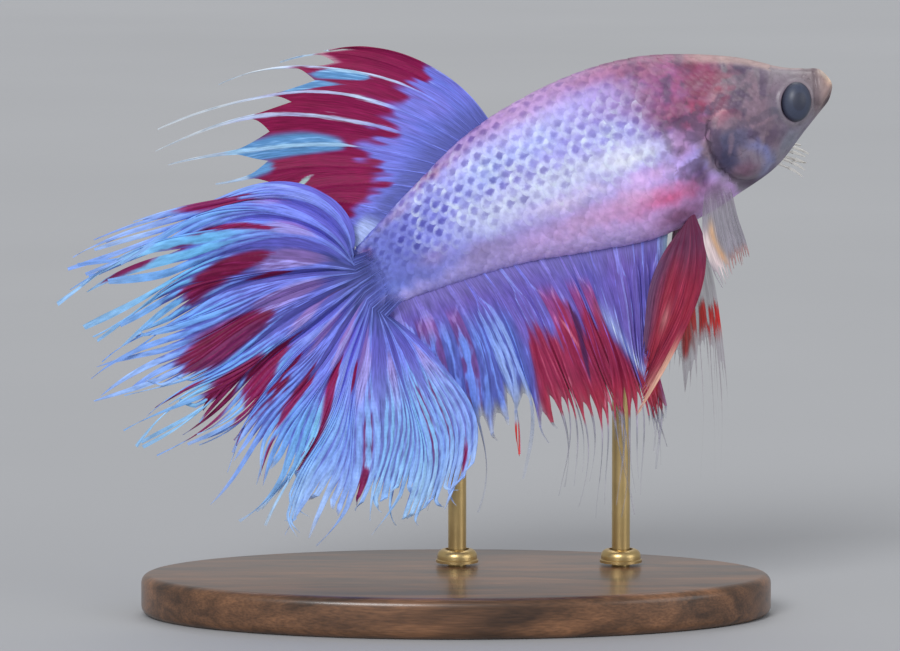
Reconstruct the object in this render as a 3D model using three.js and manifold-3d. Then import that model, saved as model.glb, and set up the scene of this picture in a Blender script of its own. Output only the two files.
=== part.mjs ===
// A male Siamese fighting fish, Betta splendens, of the long-finned combtail form, as a
// still life-size museum model. It swims head-up on a plain display stand.
// Millimetres, +Z up. +X is the way the fish heads, and its right side faces -Y.
// The origin is the middle of the stand's underside.

import * as THREE from 'three';
import { mergeVertices } from 'three/addons/utils/BufferGeometryUtils.js';
import Module from 'manifold-3d';

const wasm = await Module();
wasm.setup();

// ---------------------------------------------------------------- driving dimensions

const swimPitch = 20.5;             // degrees that the snout is raised
const gap = 0.3;                    // left between neighbouring pieces
const snoutPlace = [37, 0, 52];     // tip of the snout over the middle of the base

// The body's own frame has the snout tip at its origin, and the body's axis along -X.
// back is the distance behind the snout, top and bottom are the heights of the outline
// over the axis, and half is half of the body's width.
const bodyStations = [
  { back: 0, top: 2.1, bottom: -0.8, half: 1.35 },
  { back: 1.4, top: 2.6, bottom: -1.5, half: 1.7 },
  { back: 4, top: 3.6, bottom: -3.05, half: 2.65 },
  { back: 8, top: 6.1, bottom: -5.5, half: 3.5 },
  { back: 12.5, top: 8.1, bottom: -6.75, half: 4.0 },
  { back: 17, top: 9.5, bottom: -7.6, half: 4.2 },
  { back: 22, top: 10.1, bottom: -7.9, half: 4.1 },
  { back: 28, top: 9.8, bottom: -6.9, half: 3.7 },
  { back: 35, top: 8.4, bottom: -5.6, half: 2.9 },
  { back: 42, top: 5.4, bottom: -5.1, half: 2.0 },
  { back: 49.4, top: 1.7, bottom: -4.9, half: 0.9 },
];
const noseRound = 1.5;              // length over which the snout rounds off
const noseHeight = 0.4;             // height of the point that the snout closes to
const backFullness = 0.85;          // under 1 is fuller than an ellipse, over the widest level
const keelSharpness = 1.15;         // over 1 is narrower than an ellipse, under it
const bendStart = 25;               // where the body starts to curve to its right
const bendRate = 0.0025;            // sideways shift for each square millimetre behind that
const aroundBody = 24;              // facets round the body

const headBacks = [0.03, 0.2, 0.55, 1.1, 2, 3.2, 4.6, 6, 7.5, 9, 10.5, 12, 13.4];
const trunkStart = 13.7;
const trunkEnd = 36;
const trunkRings = 11;
const tailStart = 36.3;
const tailEnd = 49.4;
const tailRings = 7;

const eye = { back: 4.15, height: 0.05, side: 1.98, long: 1.72, tall: 1.88, deep: 1.15, turned: 16 };
const lipRise = 0.1;                // the lips stand this far out of the face

// Outlines in the body's XZ plane: the muzzle that is parted from the head, and in it
// the upper lip and the lower jaw, with the mouth a little open between them.
const muzzleOutline = [[-1.2, 6], [-1.8, 1], [-2.2, -0.85], [-6, -2.2], [-6.8, -8], [3, -8], [3, 6]];
const lipOutline = [[-1.2, 6], [-1.8, 1], [-2.2, -0.9], [0.3, -0.15], [3, 0.3], [3, 6]];
const jawOutline = [[3, -0.9], [0.3, -0.55], [-2.2, -1.4], [-6, -2.5], [-6.8, -8], [3, -8]];

const gill = { back: 10.2, height: -1.6, long: 3.1, tall: 4.0, thick: 0.6, bed: 0.9, inner: 0.5, sides: 18 };
const farSide = 12;                 // well outside the head, for the solids that cut it

// Each fin is a fan of rays. The values run evenly from the first ray to the last one:
// rootX, rootY and rootZ are where the rays start, start and end are the angles that a
// ray sets off at and finishes at, in degrees over the way the fish heads, ease over 1
// turns it sooner, reach is its length, and web is the part of it that skin joins.
const dorsal = {
  rays: 10, rows: 5, tipRows: 2, thick: 0.55, notch: 0.86,
  rootX: [-32.4, -35.5, -39.3, -43.3, -50],
  rootY: [0, 0, 0, 0, 0.4], rootZ: [9.4, 8.6, 7.15, 5.25, 1.4],
  start: [100, 119, 140, 152, 104], end: [180, 189, 184, 187, 198],
  ease: [1.4, 1.1, 1, 1, 1.4], reach: [24, 30, 29, 20, 12.5],
  web: [0.8, 0.62, 0.66, 0.85, 0.9],
  sway: (across, along) => 2.4 * across * along + 0.6 * along * Math.sin(14 * across),
};
const anal = {
  rays: 14, rows: 5, tipRows: 2, thick: 0.55, notch: 0.9,
  rootX: [-19.7, -26.4, -33.2, -40.5, -49.2],
  rootY: [0, 0, 0, 0, 0.4], rootZ: [-8.4, -7.5, -6.25, -5.5, -5.3],
  start: [241, 264, 283, 286, 262], end: [253, 256, 249, 246, 238],
  ease: [1.2, 1, 1.3, 1.5, 1.5], reach: [20, 25, 27, 25, 19],
  web: [0.85, 0.62, 0.56, 0.52, 0.6],
  sway: (across, along) => 1.5 * across * along + 0.55 * along * Math.sin(19 * across),
};
const caudal = {
  rays: 17, rows: 6, tipRows: 2, thick: 0.55, notch: 0.9,
  rootX: [-50.1, -50.15, -50.1, -49.9, -48.6],
  rootY: [-0.35, 0, 0, 0, -0.4], rootZ: [1.1, -0.5, -2.4, -4.3, -5.8],
  start: [32, 158, 207, 241, 316], end: [184, 193, 200, 230, 238],
  ease: [4, 1.6, 1, 1, 1], reach: [34.5, 30, 26.5, 25, 21],
  web: [0.9, 0.85, 0.8, 0.85, 0.85],
  sway: (across, along) => -2.8 * (1 - across) ** 2 * Math.sqrt(along)
    - 1.4 * across ** 3 * along + 0.85 * along * Math.sin(28 * across + 0.6),
};
const pelvic = {
  rays: 6, rows: 5, tipRows: 2, thick: 0.55, notch: 0.93,
  rootX: [-16.9, -18.5, -20.3], rootZ: [-8.1, -8.35, -8.4],
};
const nearPelvic = {
  ...pelvic, rootY: [-1.2, -1.25, -1.3],
  start: [264, 238, 208], end: [218, 226, 249], ease: [2.6, 1.2, 1], reach: [24, 18, 12.5],
  web: [0.85, 0.88, 0.93],
  sway: (across, along) => -2.3 * along ** 1.5 + 0.5 * along * Math.sin(6 * across),
};
const farPelvic = {
  ...pelvic, rootY: [1.2, 1.25, 1.3],
  start: [270, 258, 240], end: [250, 246, 240], ease: [2, 1, 1], reach: [26, 25, 20],
  web: [0.55, 0.6, 0.7],
  sway: (across, along) => 2.6 * along ** 1.5 + 0.5 * along * Math.sin(6 * across),
};
const pectoral = {
  rays: 7, rows: 3, tipRows: 1, thick: 0.5, notch: 0.97, web: [0.96, 0.96, 0.96],
};
const nearPectoral = {
  ...pectoral, rootX: [-12.8, -14.1, -15.4], rootY: [-3, -3.25, -3.4], rootZ: [-5.2, -4.8, -4.5],
  start: [262, 258, 232], end: [268, 264, 284], ease: [1, 1, 1], reach: [7, 8.4, 10.6],
  sway: (across, along) => -3.6 * along + 1.1 * along ** 2 - 1.2 * across * along,
};
const farPectoral = {
  ...pectoral, rootX: [-14.3, -14.6, -14.9], rootY: [3.45, 3.15, 2.75], rootZ: [-4.2, -5, -5.8],
  start: [34, 32, 34], end: [-42, -56, -68], ease: [1, 1, 1], reach: [10.6, 11.3, 10.6],
  sway: (across, along) => 6.2 * along - 1.2 * along ** 2,
};

const rayShare = 0.2;               // half of a ray's share of the fan, the rest is web
const tipWidth = 0.56;              // width of a ray where it ends
const pathSteps = 48;
const wayStep = 0.02;               // part of a ray's length over which its direction is taken

const base = { long: 31, wide: 17.5, thick: 4, bevel: 0.5, sides: 20 };
// A rod stands in a hole of the given depth at its side of the base. It is upright as far
// as upright of its height, and at lean of it has come leanIn of the way to the body.
const rod = {
  radius: 0.9, sides: 5, steps: 14, depth: 2.4, side: 5.6, foot: 2,
  upright: 0.62, lean: 0.86, leanIn: 0.45, sunk: 1.4,
};
const rodPlaces = [
  { name: 'front', back: 24, turn: 137 },
  { name: 'rear', back: 40.5, turn: 128 },
];
const collar = { radius: 2.1, height: 1.3, shoulder: 0.78, chamfer: 0.4, sides: 14 };

const finish = {
  eye: { color: 0x38455a, roughness: 0.15 },
  gillCover: { color: 0x4b3a58, roughness: 0.45 },
  head: { color: 0x998487, roughness: 0.5 },
  lip: { color: 0xd9b39e, roughness: 0.5 },
  jaw: { color: 0x9c8c8e, roughness: 0.5 },
  trunk: { color: 0xc3a5d8, roughness: 0.4 },
  tail: { color: 0x6b6fae, roughness: 0.4 },
  blueFin: { color: 0x6f86e2, roughness: 0.4 },
  redFin: { color: 0xa81a26, roughness: 0.4 },
  clearFin: { color: 0xc9c1c4, roughness: 0.4 },
  brass: { color: 0xb9a06a, roughness: 0.35, metalness: 1 },
  wood: { color: 0x2b2622, roughness: 0.4 },
};

// ---------------------------------------------------------------- general shapes

const radians = THREE.MathUtils.degToRad;

// A smooth value from an even row of values, at a place from 0 to 1.
function smooth(values, place) {
  const last = values.length - 1;
  if (last === 0) {
    return values[0];
  }
  const scaled = THREE.MathUtils.clamp(place, 0, 1) * last;
  const low = Math.min(Math.floor(scaled), last - 1);
  const part = scaled - low;
  const from = values[low];
  const to = values[low + 1];
  const before = low > 0 ? values[low - 1] : 2 * from - to;
  const after = low < last - 1 ? values[low + 2] : 2 * to - from;
  const leave = (to - before) / 2;
  const arrive = (after - from) / 2;
  const square = part * part;
  const cube = square * part;
  return (2 * cube - 3 * square + 1) * from + (cube - 2 * square + part) * leave
    + (3 * square - 2 * cube) * to + (cube - square) * arrive;
}

// A smooth value of one measure of the body, at any distance behind the snout.
function bodyMeasure(key, back) {
  const rows = bodyStations;
  let low = 0;
  while (low < rows.length - 2 && rows[low + 1].back < back) {
    low += 1;
  }
  const from = rows[low];
  const to = rows[low + 1];
  const before = rows[Math.max(low - 1, 0)];
  const after = rows[Math.min(low + 2, rows.length - 1)];
  const span = to.back - from.back;
  const part = (back - from.back) / span;
  const leave = (to[key] - before[key]) / (to.back - before.back) * span;
  const arrive = (after[key] - from[key]) / (after.back - from.back) * span;
  const square = part * part;
  const cube = square * part;
  return (2 * cube - 3 * square + 1) * from[key] + (cube - 2 * square + part) * leave
    + (3 * square - 2 * cube) * to[key] + (cube - square) * arrive;
}

// How far the curve of the body has carried it to the side.
function sideways(back) {
  return -bendRate * Math.max(back - bendStart, 0) ** 2;
}

// A point of the skin. turn is 0 on the back, 90 on the left side and 180 on the belly.
function skinPoint(back, turn, inset) {
  const rounding = back < noseRound ? Math.sqrt(1 - (1 - back / noseRound) ** 2) : 1;
  const top = noseHeight + (bodyMeasure('top', back) - inset - noseHeight) * rounding;
  const bottom = noseHeight + (bodyMeasure('bottom', back) + inset - noseHeight) * rounding;
  const half = (bodyMeasure('half', back) - inset) * rounding;
  const middle = (top + bottom) / 2;
  const upright = Math.cos(radians(turn));
  const flat = Math.sin(radians(turn));
  const power = upright > 0 ? backFullness : keelSharpness;
  const side = half * Math.sign(flat) * Math.abs(flat) ** power;
  const reach = upright > 0 ? top - middle : middle - bottom;
  return new THREE.Vector3(-back, side + sideways(back), middle + reach * upright);
}

// A closed geometry from points and triangles, turned so that its faces look outwards.
function closedGeometry(points, triangles) {
  let volume = 0;
  for (const [a, b, c] of triangles) {
    volume += points[a].dot(points[b].clone().cross(points[c]));
  }
  const outward = volume > 0 ? triangles : triangles.map(([a, b, c]) => [a, c, b]);
  const geometry = new THREE.BufferGeometry();
  geometry.setFromPoints(points);
  geometry.setIndex(outward.flat());
  geometry.computeVertexNormals();
  return geometry;
}

// A length of the body, skinned round its rings and closed at both ends.
function bodyLoft(backs, inset) {
  const points = [];
  const triangles = [];
  for (const back of backs) {
    for (let i = 0; i < aroundBody; i += 1) {
      points.push(skinPoint(back, (360 * i) / aroundBody, inset));
    }
  }
  for (let ring = 0; ring < backs.length - 1; ring += 1) {
    for (let i = 0; i < aroundBody; i += 1) {
      const next = (i + 1) % aroundBody;
      const a = ring * aroundBody + i;
      const b = ring * aroundBody + next;
      triangles.push([a, b, b + aroundBody], [a, b + aroundBody, a + aroundBody]);
    }
  }
  for (const ring of [0, backs.length - 1]) {
    const middle = new THREE.Vector3();
    for (let i = 0; i < aroundBody; i += 1) {
      middle.add(points[ring * aroundBody + i]);
    }
    points.push(middle.divideScalar(aroundBody));
    for (let i = 0; i < aroundBody; i += 1) {
      const a = ring * aroundBody + i;
      const b = ring * aroundBody + ((i + 1) % aroundBody);
      triangles.push(ring === 0 ? [b, a, points.length - 1] : [a, b, points.length - 1]);
    }
  }
  return closedGeometry(points, triangles);
}

function evenly(from, to, count) {
  return Array.from({ length: count }, (_, i) => from + ((to - from) * i) / (count - 1));
}

// A straight prism across the body, from an outline in its XZ plane.
function crossPrism(outline, fromY, toY) {
  const shape = new THREE.Shape(outline.map(([x, z]) => new THREE.Vector2(x, z)));
  const geometry = new THREE.ExtrudeGeometry(shape, { depth: toY - fromY, bevelEnabled: false });
  geometry.rotateX(Math.PI / 2);
  geometry.translate(0, toY, 0);
  return geometry;
}

function shifted(outline, x, z) {
  return outline.map(([px, pz]) => [px + x, pz + z]);
}

function ellipseOutline(x, z, long, tall, sides) {
  return Array.from({ length: sides }, (_, i) => [
    x + long * Math.cos((2 * Math.PI * i) / sides),
    z + tall * Math.sin((2 * Math.PI * i) / sides),
  ]);
}

// ---------------------------------------------------------------- joining and cutting

function toSolid(geometry) {
  const bare = new THREE.BufferGeometry();
  bare.setAttribute('position', geometry.getAttribute('position').clone());
  bare.setIndex(geometry.getIndex());
  const merged = mergeVertices(bare, 1e-4);
  const vertProperties = new Float32Array(merged.getAttribute('position').array);
  const triVerts = new Uint32Array(merged.getIndex().array);
  return new wasm.Manifold(new wasm.Mesh({ numProp: 3, vertProperties, triVerts }));
}

function fromSolid(solid) {
  const cut = solid.getMesh();
  const geometry = new THREE.BufferGeometry();
  geometry.setAttribute('position', new THREE.BufferAttribute(new Float32Array(cut.vertProperties), 3));
  geometry.setIndex(new THREE.BufferAttribute(new Uint32Array(cut.triVerts), 1));
  geometry.computeVertexNormals();
  return geometry;
}

// ---------------------------------------------------------------- fins

// The path of one ray in the body's XZ plane, as a function of the part of its length.
function rayPath(fin, across) {
  const start = smooth(fin.start, across);
  const end = smooth(fin.end, across);
  const ease = smooth(fin.ease, across);
  const step = smooth(fin.reach, across) / pathSteps;
  const places = [new THREE.Vector2(smooth(fin.rootX, across), smooth(fin.rootZ, across))];
  for (let i = 0; i < pathSteps; i += 1) {
    const along = (i + 0.5) / pathSteps;
    const angle = radians(start + (end - start) * (1 - (1 - along) ** ease));
    const move = new THREE.Vector2(Math.cos(angle), Math.sin(angle)).multiplyScalar(step);
    places.push(places[i].clone().add(move));
  }
  return (along) => {
    const scaled = along * pathSteps;
    const low = Math.min(Math.floor(scaled), pathSteps - 1);
    return places[low].clone().lerp(places[low + 1], scaled - low);
  };
}

function finPoint(fin, across, along, place) {
  const root = smooth(fin.rootX, across);
  const side = sideways(-root) + smooth(fin.rootY, across) + fin.sway(across, along);
  return new THREE.Vector3(place.x, side, place.y);
}

// The fin as a sheet of four-cornered cells: the webbed fan, with free ray tips on it.
function finSheet(fin) {
  const points = [];
  const cells = [];
  const columns = [];
  for (let ray = 0; ray < fin.rays; ray += 1) {
    columns.push({ across: (ray + 0.5 - rayShare) / fin.rays, share: 1 });
    columns.push({ across: (ray + 0.5 + rayShare) / fin.rays, share: 1 });
    if (ray < fin.rays - 1) {
      columns.push({ across: (ray + 1) / fin.rays, share: fin.notch });
    }
  }
  for (const { across, share } of columns) {
    const path = rayPath(fin, across);
    const web = smooth(fin.web, across) * share;
    for (let row = 0; row <= fin.rows; row += 1) {
      const along = (web * row) / fin.rows;
      points.push(finPoint(fin, across, along, path(along)));
    }
  }
  const tall = fin.rows + 1;
  for (let column = 0; column < columns.length - 1; column += 1) {
    for (let row = 0; row < fin.rows; row += 1) {
      const corner = column * tall + row;
      cells.push([corner, corner + tall, corner + tall + 1, corner + 1]);
    }
  }
  for (let ray = 0; ray < fin.rays; ray += 1) {
    addRayTip(fin, ray, (3 * ray + 1) * tall - 1, (3 * ray + 2) * tall - 1, points, cells);
  }
  return { points, cells };
}

// The free tip of a ray, which narrows from its two corners on the web's edge.
function addRayTip(fin, ray, leftCorner, rightCorner, points, cells) {
  const across = (ray + 0.5) / fin.rays;
  const path = rayPath(fin, across);
  const web = smooth(fin.web, across);
  const rootWidth = points[leftCorner].distanceTo(points[rightCorner]);
  let left = leftCorner;
  let right = rightCorner;
  for (let row = 1; row <= fin.tipRows; row += 1) {
    const part = row / fin.tipRows;
    const along = web + (1 - web) * part;
    const place = path(along);
    const way = place.clone().sub(path(along - wayStep)).normalize();
    const half = THREE.MathUtils.lerp(rootWidth, tipWidth, Math.sqrt(part)) / 2;
    const across2d = new THREE.Vector2(-way.y, way.x).multiplyScalar(half);
    const leftward = points[leftCorner].clone().sub(points[rightCorner]);
    const facing = leftward.x * across2d.x + leftward.z * across2d.y > 0 ? 1 : -1;
    points.push(finPoint(fin, across, along, place.clone().addScaledVector(across2d, facing)));
    points.push(finPoint(fin, across, along, place.clone().addScaledVector(across2d, -facing)));
    cells.push([left, right, points.length - 1, points.length - 2]);
    left = points.length - 2;
    right = points.length - 1;
  }
}

// A sheet given a thickness, half of it to each side, and a wall round its edge.
function thickened({ points, cells }, thick) {
  const normals = points.map(() => new THREE.Vector3());
  for (const [a, b, c, d] of cells) {
    const first = points[c].clone().sub(points[a]);
    const normal = first.cross(points[d].clone().sub(points[b])).normalize();
    for (const corner of [a, b, c, d]) {
      normals[corner].add(normal);
    }
  }
  const count = points.length;
  const both = [];
  for (const side of [1, -1]) {
    points.forEach((point, i) => {
      const out = normals[i].clone().normalize().multiplyScalar((side * thick) / 2);
      both.push(point.clone().add(out));
    });
  }
  const triangles = [];
  const edges = new Map();
  for (const [a, b, c, d] of cells) {
    triangles.push([a, b, c], [a, c, d]);
    triangles.push([count + a, count + c, count + b], [count + a, count + d, count + c]);
    for (const [from, to] of [[a, b], [b, c], [c, d], [d, a]]) {
      if (edges.has(`${to},${from}`)) {
        edges.delete(`${to},${from}`);
      } else {
        edges.set(`${from},${to}`, [from, to]);
      }
    }
  }
  for (const [from, to] of edges.values()) {
    triangles.push([to, from, count + from], [to, count + from, count + to]);
  }
  return closedGeometry(both, triangles);
}

function finGeometry(fin) {
  return thickened(finSheet(fin), fin.thick);
}

// ---------------------------------------------------------------- the fish

const fish = new THREE.Group();
fish.position.set(...snoutPlace);
fish.rotation.y = -radians(swimPitch);
fish.updateMatrixWorld(true);

function addPiece(group, name, geometry, look) {
  const mesh = new THREE.Mesh(geometry, new THREE.MeshStandardMaterial(look));
  mesh.name = name;
  group.add(mesh);
  return mesh;
}

function eyeGeometry(side, swell) {
  const geometry = new THREE.SphereGeometry(1, 14, 9);
  geometry.scale(eye.long + swell, eye.deep + swell, eye.tall + swell);
  geometry.rotateZ(-side * radians(eye.turned));
  geometry.translate(-eye.back, side * eye.side, eye.height);
  return geometry;
}

// Head: the whole loft, less the muzzle, the eye sockets and the beds of the gill covers.
const wholeHead = toSolid(bodyLoft(headBacks, 0));
const raisedHead = toSolid(bodyLoft(headBacks, -lipRise));
const platedHead = wholeHead.subtract(toSolid(bodyLoft(headBacks, gill.thick)));
const beddedHead = toSolid(bodyLoft(headBacks, -gill.thick)).subtract(toSolid(bodyLoft(headBacks, gill.bed)));
const muzzle = toSolid(crossPrism(shifted(muzzleOutline, -gap, gap), -farSide, farSide));
const sockets = toSolid(eyeGeometry(1, gap)).add(toSolid(eyeGeometry(-1, gap)));
let head = wholeHead.subtract(muzzle).subtract(sockets);

for (const [sideName, side] of [['left', 1], ['right', -1]]) {
  addPiece(fish, `eye_${sideName}`, eyeGeometry(side, 0), finish.eye);
  const cover = ellipseOutline(-gill.back, gill.height, gill.long, gill.tall, gill.sides);
  const bed = ellipseOutline(-gill.back, gill.height, gill.long + gap, gill.tall + gap, gill.sides);
  const [fromY, toY] = side > 0 ? [gill.inner, farSide] : [-farSide, -gill.inner];
  const plate = platedHead.intersect(toSolid(crossPrism(cover, fromY, toY)));
  head = head.subtract(beddedHead.intersect(toSolid(crossPrism(bed, fromY, toY))));
  addPiece(fish, `gill_cover_${sideName}`, fromSolid(plate), finish.gillCover);
}
addPiece(fish, 'head', fromSolid(head), finish.head);
const lipPrism = toSolid(crossPrism(lipOutline, -farSide, farSide));
addPiece(fish, 'upper_lip', fromSolid(raisedHead.intersect(lipPrism).subtract(sockets)), finish.lip);
const jawPrism = toSolid(crossPrism(jawOutline, -farSide, farSide));
addPiece(fish, 'lower_jaw', fromSolid(raisedHead.intersect(jawPrism).subtract(sockets)), finish.jaw);

// Trunk and tail stalk.
const trunkBacks = evenly(trunkStart, trunkEnd, trunkRings);
const tailBacks = evenly(tailStart, tailEnd, tailRings);
addPiece(fish, 'trunk', bodyLoft(trunkBacks, 0), finish.trunk);
addPiece(fish, 'tail_stalk', bodyLoft(tailBacks, 0), finish.tail);

// Fins.
addPiece(fish, 'dorsal_fin', finGeometry(dorsal), finish.blueFin);
addPiece(fish, 'anal_fin', finGeometry(anal), finish.blueFin);
addPiece(fish, 'caudal_fin', finGeometry(caudal), finish.blueFin);
addPiece(fish, 'pelvic_fin_right', finGeometry(nearPelvic), finish.redFin);
addPiece(fish, 'pelvic_fin_left', finGeometry(farPelvic), finish.redFin);
addPiece(fish, 'pectoral_fin_right', finGeometry(nearPectoral), finish.clearFin);
addPiece(fish, 'pectoral_fin_left', finGeometry(farPectoral), finish.clearFin);

// ---------------------------------------------------------------- the display stand

const model = new THREE.Group();
model.add(fish);

// Base: an oval plate with its edge eased, and a blind hole for the foot of each rod.
const plateShape = new THREE.Shape();
plateShape.absellipse(0, 0, base.long - base.bevel, base.wide - base.bevel, 0, 2 * Math.PI, false, 0);
const plate = new THREE.ExtrudeGeometry(plateShape, {
  depth: base.thick - 2 * base.bevel,
  bevelThickness: base.bevel,
  bevelSize: base.bevel,
  bevelSegments: 1,
  curveSegments: base.sides,
});
plate.translate(0, 0, base.bevel);
let baseSolid = toSolid(plate);

// Each rod stands upright beside the fish, then leans in and ends on its left side.
const wholeBacks = [...headBacks.slice(0, -1), ...trunkBacks, ...tailBacks];
const bodyClearance = fromSolid(toSolid(bodyLoft(wholeBacks, -gap)));
bodyClearance.applyMatrix4(fish.matrixWorld);
const clearance = toSolid(bodyClearance);

for (const { name, back, turn } of rodPlaces) {
  const seat = skinPoint(back, turn, 0).applyMatrix4(fish.matrixWorld);
  const inside = skinPoint(back, turn, rod.sunk).applyMatrix4(fish.matrixWorld);
  const foot = new THREE.Vector3(seat.x, rod.side, base.thick - rod.depth + gap);
  const heightAt = (part) => THREE.MathUtils.lerp(foot.z, seat.z, part);
  const leanY = THREE.MathUtils.lerp(rod.side, seat.y, rod.leanIn);
  const route = new THREE.CatmullRomCurve3([
    foot,
    new THREE.Vector3(seat.x, rod.side, base.thick + collar.height + rod.foot),
    new THREE.Vector3(seat.x, rod.side, heightAt(rod.upright)),
    new THREE.Vector3(seat.x, leanY, heightAt(rod.lean)),
    inside,
  ], false, 'centripetal');
  const section = new THREE.Shape();
  section.absarc(0, 0, rod.radius, 0, 2 * Math.PI, false);
  const bar = new THREE.ExtrudeGeometry(section, {
    extrudePath: route,
    steps: rod.steps,
    curveSegments: rod.sides,
  });
  addPiece(model, `stand_rod_${name}`, fromSolid(toSolid(bar).subtract(clearance)), finish.brass);

  const hole = new THREE.CylinderGeometry(rod.radius + gap, rod.radius + gap, base.thick, collar.sides);
  hole.rotateX(Math.PI / 2);
  hole.translate(foot.x, foot.y, base.thick - rod.depth + base.thick / 2);
  baseSolid = baseSolid.subtract(toSolid(hole));

  const bore = rod.radius + gap;
  const floor = base.thick + gap;
  const ring = new THREE.LatheGeometry([
    new THREE.Vector2(bore, floor),
    new THREE.Vector2(collar.radius, floor),
    new THREE.Vector2(collar.radius, floor + collar.shoulder),
    new THREE.Vector2(collar.radius - collar.chamfer, floor + collar.height),
    new THREE.Vector2(bore, floor + collar.height),
    new THREE.Vector2(bore, floor),
  ], collar.sides);
  ring.rotateX(Math.PI / 2);
  ring.translate(foot.x, foot.y, 0);
  addPiece(model, `stand_collar_${name}`, ring, finish.brass);
}
addPiece(model, 'stand_base', fromSolid(baseSolid), finish.wood);

export default model;
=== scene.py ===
import itertools
import math
from types import SimpleNamespace

import bpy
import numpy as np
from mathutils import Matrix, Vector


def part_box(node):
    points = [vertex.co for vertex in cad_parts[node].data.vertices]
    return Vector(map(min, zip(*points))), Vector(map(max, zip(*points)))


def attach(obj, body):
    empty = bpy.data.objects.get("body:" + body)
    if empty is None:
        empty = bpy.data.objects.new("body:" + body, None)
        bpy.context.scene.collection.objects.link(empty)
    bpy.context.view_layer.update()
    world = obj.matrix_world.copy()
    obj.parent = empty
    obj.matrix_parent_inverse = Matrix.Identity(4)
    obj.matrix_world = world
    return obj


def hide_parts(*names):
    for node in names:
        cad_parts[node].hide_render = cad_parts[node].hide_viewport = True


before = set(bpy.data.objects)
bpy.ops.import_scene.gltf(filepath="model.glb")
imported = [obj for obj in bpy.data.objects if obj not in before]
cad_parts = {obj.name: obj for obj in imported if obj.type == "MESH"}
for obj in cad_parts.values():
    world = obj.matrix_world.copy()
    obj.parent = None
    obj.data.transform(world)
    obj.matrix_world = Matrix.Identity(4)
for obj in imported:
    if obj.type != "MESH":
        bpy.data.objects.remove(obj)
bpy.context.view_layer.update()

# ------------------------------------------------------------------ hide
# One hide from the lips to the root of the tail, as on the real fish: thin wet skin
# over muscle, with the lips, jaw, eye rims and gill covers as folds of it. It is lofted
# round the body in one piece, and the scales are laid on it afterwards.

MM = 0.001
SWIM_PITCH = math.radians(20.5)
AHEAD = np.array([math.cos(SWIM_PITCH), 0, math.sin(SWIM_PITCH)])
LEFTWARD = np.array([0.0, 1.0, 0.0])
UP = np.array([-math.sin(SWIM_PITCH), 0, math.cos(SWIM_PITCH)])

EYE = {"back": 4.15, "height": 0.05, "side": 1.98, "long": 1.56, "tall": 1.88, "deep": 1.15, "lean": 0.17}
EYE_TURN = math.radians(16)


def node_middle(node):
    low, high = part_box(node)
    return (np.array(low) + np.array(high)) / 2 / MM


SNOUT = (node_middle("eye_left") + node_middle("eye_right")) / 2
SNOUT = SNOUT + EYE["back"] * AHEAD - EYE["height"] * UP

# Distance behind the snout, then the back's and the belly's height, and half the width.
BACKS = np.array([0, 1.4, 4, 8, 12.5, 17, 22, 28, 35, 42, 49.4])
TOPS = np.array([2.1, 2.6, 3.6, 6.1, 8.1, 9.5, 10.1, 9.8, 8.4, 5.4, 1.7])
BOTTOMS = np.array([-0.8, -1.5, -3.05, -5.5, -6.75, -7.6, -7.9, -6.9, -5.6, -5.1, -4.9])
HALVES = np.array([1.35, 1.7, 2.65, 3.5, 4.0, 4.2, 4.1, 3.7, 2.9, 2.0, 0.9])
NOSE_ROUND = 1.6
NOSE_HEIGHT = 0.4
BACK_CURVE, BELLY_CURVE = 0.85, 1.15
# The depth of the coat of scales, and how much deeper the face and the snout's tip lie.
COAT_DEPTH = 0.16
FOLD_ROOM, TIP_ROOM = 0.22, 0.2


def blend_in(value, low, high):
    """0 up to low, 1 from high on, and a soft step between them."""
    part = np.clip((value - low) / (high - low), 0, 1)
    return part * part * (3 - 2 * part)


def hump(distance, reach):
    """1 in the middle of a soft round hump, and 0 from its reach on."""
    part = np.clip(np.abs(distance) / reach, 0, 1)
    return (1 - part * part) ** 2


# Uneven numbers that scatter the values of neighbouring cells.
SCATTER, SEED_STEP, SPREAD = (127.1, 311.7, 74.7), 53.3, 43758.5453


def cloudy(points, size, seed):
    """A soft cloudy value from 0 to 1 at each point."""
    cell = np.floor(points / size)
    part = blend_in(points / size - cell, 0, 1)
    total = np.zeros(points.shape[:-1])
    for corner in itertools.product((0, 1), repeat=points.shape[-1]):
        code = ((cell + corner) * SCATTER[: points.shape[-1]]).sum(-1) + SEED_STEP * seed
        value = np.modf(np.abs(np.sin(code) * SPREAD))[0]
        total += value * np.where(corner, part, 1 - part).prod(-1)
    return total


def curved(places, values, place):
    """A smooth curve through the values at their places."""
    low = np.clip(np.searchsorted(places, place) - 1, 0, len(places) - 2)
    span = places[low + 1] - places[low]
    part = (place - places[low]) / span
    before = np.maximum(low - 1, 0)
    after = np.minimum(low + 2, len(places) - 1)
    leave = (values[low + 1] - values[before]) / (places[low + 1] - places[before]) * span
    arrive = (values[after] - values[low]) / (places[after] - places[low]) * span
    square, cube = part**2, part**3
    return ((2 * cube - 3 * square + 1) * values[low] + (cube - 2 * square + part) * leave
            + (3 * square - 2 * cube) * values[low + 1] + (cube - square) * arrive)


BEND_FROM, BEND = 25, 0.0025


def sideways(back):
    """How far the rear of the body bends to the fish's right."""
    return -BEND * np.maximum(back - BEND_FROM, 0) ** 2


def marbled(places, size, seed):
    """Cloudy veins from 0 to 1, as ink runs in water."""
    push = np.stack([cloudy(places, 1.7 * size, seed + n) for n in (0, 1)], -1) - 0.5
    bent = places + 2.4 * size * push
    return 0.62 * cloudy(bent, size, seed + 2) + 0.38 * cloudy(bent, 0.42 * size, seed + 3)


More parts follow.
